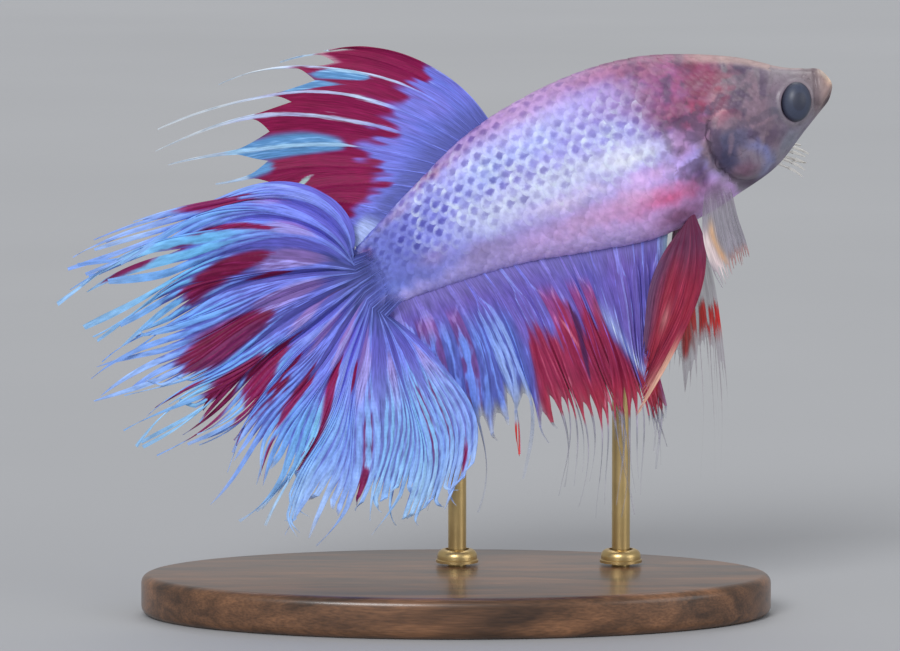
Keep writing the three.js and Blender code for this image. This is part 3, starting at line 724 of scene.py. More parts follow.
def scale_coat(name, side, chance):
    """All the scales of one side, as one mesh of separate plates."""
    roots = scale_roots()
    count, corners = len(roots), len(scale_flat)
    middle, row = roots[:, 0, None], roots[:, 1, None]
    gap = row_gap(middle)
    grown = 1 + 0.08 * (chance.random((count, 1)) - 0.5)
    along = scale_flat[None, :, 0] * SCALE_LONG * scale_pitch(middle) * grown
    aside = scale_flat[None, :, 1] * SCALE_WIDE * gap * grown
    aside = aside + 0.06 * (chance.random((count, 1)) - 0.5) * along
    back = np.minimum(middle + along + 0.1 * gap, BACKS[-1])
    turn = turn_at(back, row * row_gap(back) + aside)
    if side < 0:
        turn = 2 * math.pi - turn
    plain = 1 - 0.5 * (1 - blend_in(middle, 9, 16))
    thick = np.minimum(0.05, 0.06 * gap)
    rise = 0.035 + 0.07 * gap * plain * (scale_flat[None, :, 0] + 0.25) - scale_low * thick
    rise = rise + 0.04 * gap * plain * (1 - scale_edge**2) - 0.02 * gap * (scale_flat[None, :, 1] ** 2)
    points = hide_point(back, turn, COAT_DEPTH, rise)
    all_faces = []
    for number in range(count):
        start = number * corners
        all_faces += [tuple(start + c for c in face) for face in scale_faces]
    coat = mesh_piece(name, placed(points.reshape(-1, 3)), all_faces)

    tint, _ = body_paint(back.ravel(), plain_body(back, turn, 0)[..., 2].ravel())
    root_turn = turn_at(middle, row * gap)
    root_height = plain_body(middle, root_turn, 0)[..., 2]
    _, net = body_paint(middle[:, 0], root_height[:, 0])
    net = net * (0.3 + 0.7 * chance.random(count))
    # glint: how strongly a painted highlight lies on each scale's rim, strongest along the mid flank.
    glint = blend_in(middle[:, 0], 16, 20) * (1 - blend_in(middle[:, 0], 40, 46))
    glint = glint * hump(root_height[:, 0] - 3.0, 6.0) * (0.2 + 0.8 * chance.random(count))
    tint = tint.reshape(count, corners, 3) * (0.96 + 0.08 * chance.random((count, 1, 1)))
    give_attribute(coat, "tint", "FLOAT_COLOR", np.clip(tint, 0, 1).reshape(-1, 3))
    give_attribute(coat, "net", "FLOAT", np.repeat(net, corners))
    give_attribute(coat, "glint", "FLOAT", np.repeat(glint, corners))
    from_spot = np.hypot((scale_flat[:, 0] - 0.30) / 0.92, scale_flat[:, 1] / 0.8)
    give_attribute(coat, "from_spot", "FLOAT", np.tile(from_spot, count))
    give_attribute(coat, "edge", "FLOAT", np.tile(scale_edge, count))
    roots_on_map = np.stack([turn_share(root_turn, side), middle / BACKS[-1]], -1)
    offsets = np.stack([np.broadcast_to(scale_flat[None, :, 1], back.shape),
                        np.broadcast_to(scale_flat[None, :, 0], back.shape)], -1)
    give_map(coat, "OFBake", (roots_on_map + OWN_PATCH * offsets).reshape(-1, 2))
    alone(coat)
    bpy.ops.object.shade_smooth_by_angle(angle=math.radians(40))
    coat.data.materials.append(scale_finish())
    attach(coat, "root")


def scale_finish():
    """A scale's clear plate over its pigment: a violet spot, and behind it a painted highlight, pale blue, on
    its rim.
    """
    if "scales" in bpy.data.materials:
        return bpy.data.materials["scales"]
    material, tree, shader = new_material("scales")
    tint, net, glint = colour_of(tree, "tint"), number_of(tree, "net"), number_of(tree, "glint")
    from_spot, edge = number_of(tree, "from_spot"), number_of(tree, "edge")
    clouds = speckle(tree, 0.6)
    ragged = calc(tree, "ADD", from_spot, calc(tree, "MULTIPLY", calc(tree, "SUBTRACT", clouds, 0.5), 0.7))
    core = mapped(tree, ragged, 1.0, 0.0, 0.22, 0.66, interpolation_type="SMOOTHSTEP")
    # rim: the painted highlight, pale blue on the rim behind the spot, as strong as glint says.
    rim = calc(tree, "MULTIPLY", calc(tree, "SUBTRACT", 1.0, core), glint)
    rim = calc(tree, "MULTIPLY", rim, mapped(tree, speckle(tree, 1.1), 0.25, 1.0, 0.42, 0.62))
    rim_highlit = overlaid(tree, rim, tint, (0.74, 0.85, 1.0, 1))
    shade = times(tree, tint, (0.38, 0.34, 0.60))
    marked = overlaid(tree, calc(tree, "MULTIPLY", core, net), rim_highlit, shade)
    rings = calc(tree, "SINE", calc(tree, "MULTIPLY", edge, 55.0), 0.0)
    grain = calc(tree, "ADD", calc(tree, "MULTIPLY", rings, 0.35), speckle(tree, 0.12))
    set_inputs(tree, shader, {
        "Base Color": varied(tree, marked, 0.13, clouds), "Roughness": mapped(tree, clouds, 0.26, 0.46),
        "Normal": relief(tree, grain, 0.2, 0.04 * MM), "Specular IOR Level": 0.4,
    })
    return material


scale_chance = np.random.default_rng(7)
scale_coat("scales_left", 1, scale_chance)
scale_coat("scales_right", -1, scale_chance)

# ------------------------------------------------------------------ eyes
# Each eyeball is one clear bulging lens over a slate iris and a dark pupil, which hardly
# differ in colour. It is held in its socket by the rim of the hide.


def eye_finish():
    """Dark slate, a little bluer in a ring on the iris, with fine spokes, under a wet cornea."""
    material, tree, shader = new_material("eye_glass")
    reach, spoke = number_of(tree, "reach"), number_of(tree, "spoke")
    fine = add_node(tree, "ShaderNodeCombineXYZ", {0: calc(tree, "MULTIPLY", reach, 2.0),
                                                  1: calc(tree, "MULTIPLY", spoke, 60.0)}).outputs[0]
    grain = noise(tree, fine, 1.0, 3.0)
    wander = calc(tree, "ADD", reach, calc(tree, "MULTIPLY", calc(tree, "SUBTRACT", grain, 0.5), 0.06))
    ramp = add_node(tree, "ShaderNodeValToRGB", {0: wander})
    stops = [(0.0, (0.17, 0.19, 0.26)), (0.42, (0.18, 0.20, 0.28)), (0.5, (0.21, 0.24, 0.33)),
             (0.84, (0.23, 0.26, 0.35)), (0.93, (0.19, 0.21, 0.29)), (1.0, (0.18, 0.18, 0.26))]
    for place, _ in stops[1:-1]:
        ramp.color_ramp.elements.new(place)
    for element, (place, paint) in zip(ramp.color_ramp.elements, stops):
        element.position = place
        element.color = (*linear(paint), 1)
    set_inputs(tree, shader, {
        "Base Color": varied(tree, ramp.outputs[0], 0.2, grain), "Roughness": 0.5,
        "Coat Weight": 0.2, "Coat Roughness": 0.3,
    })
    return material


eye_material = eye_finish()
for side_name, side in (("left", 1), ("right", -1)):
    deselect()
    bpy.ops.mesh.primitive_uv_sphere_add(segments=64, ring_count=40, radius=1)
    ball = bpy.context.object
    ball.name = ball.data.name = f"eyeball_{side_name}"
    round_points = np.zeros(len(ball.data.vertices) * 3)
    ball.data.vertices.foreach_get("co", round_points)
    round_points = round_points.reshape(-1, 3)[:, [0, 2, 1]]
    outward = round_points[:, 1] * side
    off_axis = np.hypot(round_points[:, 0], round_points[:, 2])
    ahead = EYE["long"] * round_points[:, 0] + EYE["lean"] * EYE["tall"] * round_points[:, 2]
    out = EYE["deep"] * round_points[:, 1]
    turned_ahead = ahead * math.cos(EYE_TURN) + out * side * math.sin(EYE_TURN)
    turned_out = out * math.cos(EYE_TURN) - ahead * side * math.sin(EYE_TURN)
    points = np.stack([turned_ahead - EYE["back"], turned_out + side * EYE["side"],
                       EYE["tall"] * round_points[:, 2] + EYE["height"]], -1)
    ball.data.vertices.foreach_set("co", placed(points).astype(np.float32).ravel())
    give_attribute(ball, "reach", "FLOAT", np.where(outward > 0, off_axis, 1.0))
    give_attribute(ball, "spoke", "FLOAT", np.abs(np.arctan2(round_points[:, 2], round_points[:, 0])))
    faces_out(ball, MERGE / 10)
    ball.data.materials.append(eye_material)
    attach(ball, "root")
    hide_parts(f"eye_{side_name}")

# ------------------------------------------------------------------ dorsal fin
# Every fin is a fan of bony rays with a thin web between them, rooted in the hide. Rays
# may fork towards the rim, where the web is notched and the rays run on as free threads.

RAY_STEPS = 96
EDGE_SHARE = 0.3
RIM_LOW, RIM_HIGH = 0.05, 0.985
ROOT_THICKER = 0.35
THICKNESS_LEVELS = 40
SHORTEST_TIP = 0.03
BURIED = -0.04
FOLD_ANGLE = math.radians(50)
SLACK = 1e-6


def along_row(values, place):
    """A smooth value from an even row of values, at places from 0 to 1."""
    values = np.array(values, float)
    if len(values) == 1:
        return np.full(np.shape(place), values[0])
    scaled = np.clip(place, 0, 1) * (len(values) - 1)
    low = np.minimum(scaled.astype(int), len(values) - 2)
    padded = np.concatenate([[2 * values[0] - values[1]], values, [2 * values[-1] - values[-2]]])
    part = scaled - low
    start, end = padded[low + 1], padded[low + 2]
    leave, arrive = (end - padded[low]) / 2, (padded[low + 3] - start) / 2
    square, cube = part**2, part**3
    return ((2 * cube - 3 * square + 1) * start + (cube - 2 * square + part) * leave
            + (3 * square - 2 * cube) * end + (cube - square) * arrive)


def fan_place(fin, across, along):
    """A point of a fin's middle sheet. across runs over the fan and along out on each ray."""
    columns = across[:, 0]
    start, end = along_row(fin["start"], columns), along_row(fin["end"], columns)
    ease, reach = along_row(fin["ease"], columns), along_row(fin["reach"], columns)
    steps = (np.arange(RAY_STEPS) + 0.5) / RAY_STEPS
    swing = 1 - (1 - steps[None, :]) ** ease[:, None]
    angle = np.radians(start[:, None] + (end - start)[:, None] * swing)
    moves = np.stack([np.cos(angle), np.sin(angle)], -1) * (reach / RAY_STEPS)[:, None, None]
    path = np.concatenate([np.zeros((len(columns), 1, 2)), np.cumsum(moves, 1)], 1)
    scaled = np.clip(along, 0, 1) * RAY_STEPS
    low = np.minimum(scaled.astype(int), RAY_STEPS - 1)
    part = (scaled - low)[..., None]
    rows = np.arange(len(columns))[:, None]
    flat = path[rows, low] * (1 - part) + path[rows, low + 1] * part
    root_x, root_y, root_z = (along_row(fin[key], columns)[:, None] for key in ("root_x", "root_y", "root_z"))
    root_y = sideways(-root_x) + root_y
    return np.stack([root_x + flat[..., 0], root_y + fin["sway"](across, along), root_z + flat[..., 1]], -1)


def rib_height(fin, share, along):
    """1 on the middle of a branch of a ray, and near 0 on the web between."""
    twigs = fin["twigs"]
    width = fin["rib"] * (1 - 0.35 * along)
    spread = 0.16 + 0.84 * blend_in(along, 0.05, fin["forked"])
    rib = np.zeros(np.shape(share + 0 * along))
    for twig in range(twigs):
        centre = spread * ((twig + 0.5) / twigs - 0.5)
        rib = np.maximum(rib, np.exp(-(((share - centre) / width) ** 2)))
    return rib


def stepped_aside(rows, amount):
    """Points moved sideways from their rays, in the plane of the fin."""
    heading = np.gradient(rows, axis=1)
    aside = np.stack([-heading[..., 2], 0 * heading[..., 1], heading[..., 0]], -1)
    return rows + aside * (amount / np.maximum(np.linalg.norm(aside, axis=-1), 1e-9))[..., None]


def grid_quads(index):
    """The four-sided faces between the points of a grid."""
    return np.stack([index[:-1, :-1], index[1:, :-1], index[1:, 1:], index[:-1, 1:]], -1).reshape(-1, 4)


def free_tip(fin, branch, across, rim, part, margin, chance):
    """The free tip of a branch, which narrows and runs on as a thread that drifts aside."""
    rays, twigs = fin["rays"], fin["twigs"]
    in_ray = (branch % twigs + 0.5) / twigs - 0.5
    narrow = fin["thread"] + (1 - fin["thread"]) * (1 - part) ** fin["taper"]
    narrow = narrow * np.sqrt(np.clip((1.02 - part) / 0.25, 0, 1))
    drift = fin["drift"] * (chance.random() - 0.5) * part**1.7 * (1 - 2 * margin) / (rays * twigs)
    drift = drift - fin["gather"] * in_ray * part**1.3 / rays
    longest = (1 - fin["tip_ragged"] * chance.random()) * fin.get("tip_reach", [1] * rays)[branch // twigs]
    flutter = fin["flutter"] * (chance.random() - 0.5)
    start = rim[:, None]
    along = start + (np.maximum(longest, start + SHORTEST_TIP) - start) * part[None, :]
    half_way = len(across) // 2
    centre = across[half_way]
    spread = fan_place(fin, across[:, None] + 0 * along, along)
    middle = fan_place(fin, centre + 0 * along, along)
    drifted = [fan_place(fin, np.array([[centre + d]]), along[half_way][None, k : k + 1])[0, 0]
               for k, d in enumerate(drift)]
    tip = middle + (spread - middle) * narrow[None, :, None]
    tip = tip + (np.array(drifted) - middle[half_way])[None, :, :]
    tip[..., 1] += flutter * part[None, :] ** 1.5
    return tip, along


def thicken(sheet, thickness):
    """Makes a sheet solid about its middle, by a thickness in millimetres at each vertex."""
    group = sheet.vertex_groups.new(name="thick")
    levels = np.round(thickness / thickness.max() * THICKNESS_LEVELS).astype(int)
    for step in range(1, THICKNESS_LEVELS + 1):
        chosen = np.where(levels == step)[0].tolist()
        if chosen:
            group.add(chosen, step / THICKNESS_LEVELS, "REPLACE")
    alone(sheet)
    solid = sheet.modifiers.new("thickness", "SOLIDIFY")
    solid.thickness = thickness.max() * MM
    solid.offset = 0
    solid.vertex_group = "thick"
    bpy.ops.object.modifier_apply(modifier=solid.name)
    sheet.vertex_groups.clear()
    bpy.ops.object.shade_smooth_by_angle(angle=FOLD_ANGLE)


def fin_sheet(name, fin, paint, seed):
    """Makes one fin: its web, its free ray tips, its thickness and its colours."""
    chance = np.random.default_rng(seed)
    rays, twigs, per_twig, tip_half = fin["rays"], fin["twigs"], fin["columns"], fin["tip_half"]
    count = rays * twigs
    margin = EDGE_SHARE / rays
    shares = np.arange(count * per_twig + 1) / per_twig
    shares = shares[(shares >= 0.5 - tip_half - SLACK) & (shares <= count - 0.5 + tip_half + SLACK)]
    twig = np.minimum(shares.astype(int), count - 1)
    from_twig = shares - twig - 0.5
    even = margin + (1 - 2 * margin) * np.concatenate([[0], (np.arange(rays) + 0.5) / rays, [1]])
    rays_at = np.array([even[0], *fin.get("rays_at", even[1:-1]), even[-1]])
    rays_at[1:-1] += fin["crowding"] * (chance.random(rays) - 0.5) / rays
    across = np.interp(margin + (1 - 2 * margin) * shares / count, even, rays_at)

    # The web's rim: level with each branch, notched between them, most between the rays.
    in_ray = (np.arange(count) % twigs + 0.5) / twigs - 0.5
    level = 1 + fin["ragged"] * (chance.random(count) - 0.5) - fin["arch"] * (2 * in_ray) ** 2
    level = level * (1 + fin["uneven"] * (np.repeat(chance.random(rays), twigs) - 0.5))
    between = np.clip((np.abs(from_twig) - tip_half) / (0.5 - tip_half), 0, 1)
    nearest_gap = np.round(shares).astype(int)
    deep = np.where(nearest_gap % twigs == 0, fin["ray_notch"], fin["twig_notch"])
    smooth_level = np.interp(shares, np.arange(count) + 0.5, level)
    blended = level[twig] + (smooth_level - level[twig]) * between
    rim = along_row(fin["web"], across) * blended * (1 - deep * between ** fin["notch_shape"])
    rim = np.clip(rim, RIM_LOW, RIM_HIGH)
    phases = 2 * math.pi * chance.random(rays + 2)

    def wander(lanes, along):
        """How far a ray strays sideways from its even place."""
        phase = np.interp(lanes / twigs, np.arange(rays + 2) - 0.5, phases)
        return fin["stray"] * np.sin(7 * along + phase) * blend_in(along, 0.15, 0.7)

    # The web: a grid of points from the root to the rim, with one more row buried in the body.
    rows = fin["rows"]
    along = rim[:, None] * np.linspace(0, 1, rows + 1)[None, :]
    wide, lanes = np.repeat(across[:, None], rows + 1, 1), np.repeat(shares[:, None], rows + 1, 1)
    web = stepped_aside(fan_place(fin, wide, along), wander(lanes, along))
    heading = web[:, 1] - web[:, 0]
    heading = heading / np.linalg.norm(heading, axis=-1, keepdims=True)
    buried = web[:, 0] - fin["rooted"] * heading + np.array(fin.get("anchor", (0, 0, 0)))
    buried[:, 2] += fin.get("anchor_lift", 0) * across
    web = np.concatenate([buried[:, None], web], 1)
    along, wide, lanes = (np.concatenate([v[:, :1], v], 1) for v in (along, wide, lanes))
    along[:, 0] = BURIED
    columns, tall = web.shape[:2]
    index = np.arange(columns * tall).reshape(columns, tall)
    quads = [grid_quads(index)]
    points, acrosses = [web.reshape(-1, 3)], [wide.ravel()]
    alongs, all_lanes = [along.ravel()], [lanes.ravel()]
    rims, tips = [np.repeat(rim, tall)], [np.zeros(columns * tall)]

    # The free tip of each branch goes on from the rim.
    part = np.linspace(0, 1, fin["tip_rows"] + 1)[1:]
    base = columns * tall
    for branch in range(count):
        own = np.where(np.abs(shares - branch - 0.5) <= tip_half + SLACK)[0]
        tip, tip_along = free_tip(fin, branch, across[own], rim[own], part, margin, chance)
        tip_lanes = np.repeat(shares[own][:, None], len(part), 1)
        tip = stepped_aside(tip, wander(tip_lanes, tip_along))
        tip_index = base + np.arange(len(own) * len(part)).reshape(len(own), -1)
        base += tip_index.size
        tip_index = np.concatenate([(own * tall + tall - 1)[:, None], tip_index], 1)
        quads.append(grid_quads(tip_index))
        points.append(tip.reshape(-1, 3))
        acrosses.append(np.repeat(across[own], len(part)))
        alongs.append(tip_along.ravel())
        all_lanes.append(tip_lanes.ravel())
        rims.append(np.repeat(rim[own], len(part)))
        tips.append(np.tile(part, len(own)))
    points, quads = np.concatenate(points), np.concatenate(quads)
    across, along, lane = np.concatenate(acrosses), np.concatenate(alongs), np.concatenate(all_lanes)
    rim, tip_part = np.concatenate(rims), np.concatenate(tips)
    ray_number = np.minimum((lane / twigs).astype(int), rays - 1)
    share = lane / twigs - ray_number - 0.5
    rib = np.maximum(rib_height(fin, share, along), np.where(tip_part > 0, 0.7, 0))

    # Each ray stands up as a pleat of the web, and each branch as a smaller one.
    pleat = np.interp(across, np.linspace(0, 1, np.size(fin["pleat"])), np.atleast_1d(fin["pleat"]))
    fold = pleat * (2 * np.abs(np.cos(math.pi * share)) - 1) * (1 - 0.5 * blend_in(along, 0.5, 1))
    fold += fin["small_pleat"] * (2 * np.abs(np.cos(math.pi * (lane - 0.5))) - 1) * blend_in(along, 0.2, 0.5)
    points[:, 1] -= fold * blend_in(along, 0.0, 0.15) * (1 - blend_in(tip_part, 0.2, 0.9))

    sheet = mesh_piece(name, placed(points), quads.tolist())
    twig_number = np.clip(lane.astype(int), 0, count - 1)
    grain = lane * fin["grain"]
    # What a fin's paint may go by, at each vertex. across runs over the fan, along out on a ray.
    look = SimpleNamespace(
        across=across, along=along, to_rim=along / rim, tip=tip_part, rib=rib, ray=ray_number,
        streak=chance.random(count)[twig_number], lock=chance.random(rays)[ray_number],
        cloud=cloudy(np.stack([across * 9, along * 5], -1), 1.0, seed),
        fleck=cloudy(np.stack([grain * 0.9, along * 12], -1), 1.0, seed + 1))
    finish = paint(look)
    for part in ("web", "ray"):
        give_attribute(sheet, f"{part}_colour", "FLOAT_COLOR", np.clip(finish[part], 0.01, 1))
    give_attribute(sheet, "cover", "FLOAT", finish["cover"] + 0 * along)
    give_attribute(sheet, "clear", "FLOAT", np.clip(finish["clear"], 0.02, 1))
    give_attribute(sheet, "rib", "FLOAT", rib)
    give_attribute(sheet, "lane", "FLOAT", grain)
    give_attribute(sheet, "outward", "FLOAT", along * np.mean(fin["reach"]))
    give_map(sheet, "OFBake", np.stack([0.02 + 0.96 * across, 0.05 + 0.93 * along], -1))

    # Thin on the web, thicker on the rays, and thickest at the root, where muscle covers it.
    thickness = fin["web_thick"] + (fin["rib_thick"] - fin["web_thick"]) * rib
    thickness = thickness + ROOT_THICKER * (1 - blend_in(along, 0, 0.1))
    thickness = np.where(tip_part > 0, fin["rib_thick"] * (1 - 0.6 * tip_part), thickness)
    thicken(sheet, thickness)
    sheet.data.materials.append(fin_finish())
    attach(sheet, "root")
    return sheet


def fin_finish():
    """Fin web and rays: fine streaks of pigment, joints across the rays, and clear rims."""
    if "fin_web" in bpy.data.materials:
        return bpy.data.materials["fin_web"]
    material, tree, shader = new_material("fin_web")
    web, ray = colour_of(tree, "web_colour"), colour_of(tree, "ray_colour")
    cover, clear, rib, lane, outward = (number_of(tree, name)
                                        for name in ("cover", "clear", "rib", "lane", "outward"))

    def streaks(wide, long):
        place = add_node(tree, "ShaderNodeCombineXYZ", {0: calc(tree, "MULTIPLY", lane, 1 / wide),
                                                       1: calc(tree, "MULTIPLY", outward, 1 / long)})
        return noise(tree, place.outputs[0], 1.0, 2.0)

    broad, fine = streaks(0.9, 4.0), streaks(0.3, 1.6)
    strength = calc(tree, "ADD", calc(tree, "MULTIPLY", rib, 0.42),
                    calc(tree, "ADD", calc(tree, "MULTIPLY", broad, 0.5), calc(tree, "MULTIPLY", fine, 0.4)))
    above = calc(tree, "ADD", strength, calc(tree, "MULTIPLY", cover, 1.2))
    shown = mapped(tree, above, 0.0, 1.0, 1.1, 1.35, interpolation_type="SMOOTHSTEP")
    both = overlaid(tree, shown, web, ray)
    joints = calc(tree, "SINE", calc(tree, "MULTIPLY", outward, 14.0), 0.0)
    ridges = calc(tree, "ADD", calc(tree, "MULTIPLY", calc(tree, "MULTIPLY", joints, rib), 0.15), fine)
    set_inputs(tree, shader, {
        "Base Color": varied(tree, varied(tree, both, 0.24, fine), 0.12, broad), "Alpha": clear,
        "Normal": relief(tree, ridges, 0.5, 0.08 * MM), "Roughness": mapped(tree, fine, 0.42, 0.62),
        "Specular IOR Level": 0.18,
    })
    return material


def painted(look, paint):
    """The same paint all over a fin."""
    return np.tile(np.array(paint, float), (len(look.across), 1))


def patch(look, path, half_width, fade=0.03):
    """A patch of colour that follows a path of (across, along) places, widest in its middle."""
    path = np.array(path, float)
    along = look.along + 0.07 * (look.streak - 0.5) + 0.05 * (look.fleck - 0.5)
    centre = np.interp(along, path[:, 1], path[:, 0])
    part = np.clip((along - path[0, 1]) / (path[-1, 1] - path[0, 1]), 0, 1)
    half = half_width * np.clip(4.2 * part * (1 - part), 0, 1) ** 0.5
    half = half * (0.85 + 0.3 * look.cloud)
    off = np.abs(look.across - centre)
    inside = 1 - blend_in(off, np.maximum(half - 0.4 * half_width, 0), half + 1e-4)
    ends = blend_in(along, path[0, 1] - fade, path[0, 1] + fade)
    ends = ends * (1 - blend_in(along, path[-1, 1] - fade, path[-1, 1] + fade))
    return inside * ends


def both_over(web, ray, mask, web_paint, ray_paint, on_web=1.0, on_ray=1.0):
    """Paint over a fin's web and its rays at once, each as thickly as its share says."""
    return laid_over(web, on_web * mask, web_paint), laid_over(ray, on_ray * mask, ray_paint)


CRIMSON, ICE, SMOKE = (0.53, 0.07, 0.30), (0.78, 0.86, 0.98), (0.68, 0.69, 0.73)

# A row of a fin's values runs over the fan from its first ray to its last. A ray starts at
# its root, turns from its start angle to its end angle, and reaches so far. web is the share
# of its reach that has web, and sway how far the sheet stands out of its plane. The other
# values say how many rays, branches and rows there are, and how uneven the rim and tips are.
DORSAL = {
    "rays": 10, "twigs": 1, "columns": 24, "rows": 64, "tip_rows": 40, "tip_half": 1 / 12, "forked": 0.9,
    "rays_at": [0.045, 0.125, 0.205, 0.325, 0.42, 0.53, 0.625, 0.72, 0.83, 0.94],
    "tip_reach": [0.72, 0.78, 0.96, 1.0, 1.0, 0.92, 0.84, 0.8, 0.85, 1.0],
    "root_x": [-32.4, -35.5, -39.3, -43.3, -51.2], "root_y": [0, 0, 0, 0, 0.4],
    "root_z": [9.4, 8.6, 7.15, 5.25, 0.8],
    "start": [100, 119, 140, 152, 104], "end": [180, 189, 184, 187, 198], "ease": [1.4, 1.1, 1, 1, 1.4],
    "reach": [24, 30, 29, 20, 12.5], "web": [0.70, 0.60, 0.66, 0.68, 0.9],
    "sway": lambda across, along: 2.4 * across * along + 0.6 * along * np.sin(14 * across),
    "rooted": 1.6, "rib": 0.09, "rib_thick": 0.17, "web_thick": 0.05, "pleat": 0.04, "small_pleat": 0.0,
    "ragged": 0.04, "uneven": 0.04, "arch": 0.0, "ray_notch": 0.14, "twig_notch": 0.0, "notch_shape": 0.8,
    "tip_ragged": 0.06, "thread": 0.30, "taper": 2.4, "drift": 0.3, "flutter": 1.2, "stray": 0.3, "grain": 6,
    "crowding": 0.0, "gather": 0.0,
}


def dorsal_paint(look):
    """Violet blue at the root and crimson beyond, with pale rays and aqua lights."""
    across, along = look.across, look.along
    web = painted(look, (0.44, 0.47, 0.88))
    web = laid_over(web, 0.85 * (1 - blend_in(along, 0.0, 0.13)), (0.34, 0.37, 0.66))
    web = laid_over(web, 0.6 * look.cloud * blend_in(along, 0.04, 0.14), (0.60, 0.52, 0.88))
    web = laid_over(web, 0.5 * look.fleck * blend_in(along, 0.02, 0.1), (0.42, 0.52, 0.92))
    red_from = np.interp(across, [0, 0.12, 0.2, 0.32, 0.45, 0.52, 0.6, 0.65, 0.75, 0.9, 1.0],
                         [0.34, 0.25, 0.24, 0.26, 0.20, 0.25, 0.2, 0.16, 0.13, 0.12, 0.02])
    ragged = along + 0.14 * (look.fleck - 0.5) + 0.05 * (look.cloud - 0.5)
    red = blend_in(ragged, red_from - 0.035, red_from + 0.03)
    web = laid_over(web, red, CRIMSON)
    web = laid_over(web, 0.5 * red * blend_in(look.to_rim, 0.5, 1.0), (0.55, 0.10, 0.28))
    ray = laid_over(painted(look, (0.50, 0.55, 0.95)), blend_in(along, 0.16, 0.32), ICE)
    ray = laid_over(ray, 0.6 * look.fleck * red, (0.66, 0.62, 0.84))
    bold = np.array([0.1, 0.2, 0.9, 1, 1, 0.85, 0.3, 0.0, 0.0, 0.1])[look.ray]
    cover = 0.32 * (1 - red) + 0.46 * red * bold
    for path, half in (([(0.225, 0.34), (0.235, 0.55)], 0.030), ([(0.28, 0.46), (0.30, 0.64)], 0.034),
                       ([(0.53, 0.31), (0.53, 0.76)], 0.064), ([(0.60, 0.52), (0.61, 0.70)], 0.035)):
        aqua = patch(look, path, half)
        web = laid_over(web, 0.95 * aqua, (0.37, 0.62, 0.84))
        ray = laid_over(ray, 0.6 * aqua, (0.54, 0.79, 0.92))
        cover = cover + 0.12 * aqua
    web = laid_over(web, patch(look, [(0.66, 0.40), (0.72, 0.56)], 0.014), (0.66, 0.76, 0.76))
    pale_edge = (1 - blend_in(across, 0.16, 0.24)) * blend_in(look.to_rim, 0.93, 0.99)
    web = laid_over(web, 0.7 * pale_edge, (0.78, 0.72, 0.74))
    first = (1 - blend_in(across, 0.02, 0.06)) * (1 - blend_in(along, 0.06, 0.16))
    web = laid_over(web, 0.9 * first, (0.86, 0.86, 0.94))
    last = blend_in(across, 0.84, 0.89) * (1 - blend_in(along, 0.05, 0.11))
    web, ray = both_over(web, ray, last, (0.66, 0.73, 0.94), (0.70, 0.78, 0.96))
    web = laid_over(web, blend_in(look.tip, 0.0, 0.2), (0.72, 0.82, 0.92))
    ray = laid_over(ray, blend_in(look.tip, 0.0, 0.5), (0.84, 0.88, 0.92))
    clear = 0.98 - 0.55 * blend_in(look.tip, 0.15, 1.0)
    return {"web": web, "ray": ray, "cover": cover, "clear": clear}


dorsal_fin = fin_sheet("dorsal_fan", DORSAL, dorsal_paint, 11)
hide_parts("dorsal_fin")

# ------------------------------------------------------------------ anal fin
# The long fin of rays and web, rooted all along under the belly. Its rays fork in three,
# and its clear rim hangs in threads.

ANAL = {
    "rays": 15, "twigs": 3, "columns": 8, "rows": 56, "tip_rows": 34, "tip_half": 1 / 8, "forked": 0.14,
    "root_x": [-19.7, -26.4, -33.2, -40.5, -50.4], "root_y": [0, 0, 0, 0, 0.4],
    "root_z": [-8.4, -7.5, -6.25, -5.5, -5.2],
    "start": [241, 264, 283, 286, 262], "end": [253, 256, 249, 246, 238], "ease": [1.2, 1, 1.3, 1.5, 1.5],
    "reach": [20, 25, 27, 25, 19], "web": [0.80, 0.62, 0.60, 0.56, 0.66],
    "sway": lambda across, along: 1.5 * across * along + 0.55 * along * np.sin(19 * across),
    "rooted": 1.5, "rib": 0.07, "rib_thick": 0.15, "web_thick": 0.05, "pleat": 0.14, "small_pleat": 0.08,
    "ragged": 0.12, "uneven": 0.12, "arch": 0.03, "ray_notch": 0.14, "twig_notch": 0.08, "notch_shape": 0.6,
    "tip_ragged": 0.4, "thread": 0.18, "taper": 1.6, "drift": 1.6, "flutter": 1.6, "stray": 0.7, "grain": 1.6,
    "crowding": 0.9, "gather": 0.3,
}


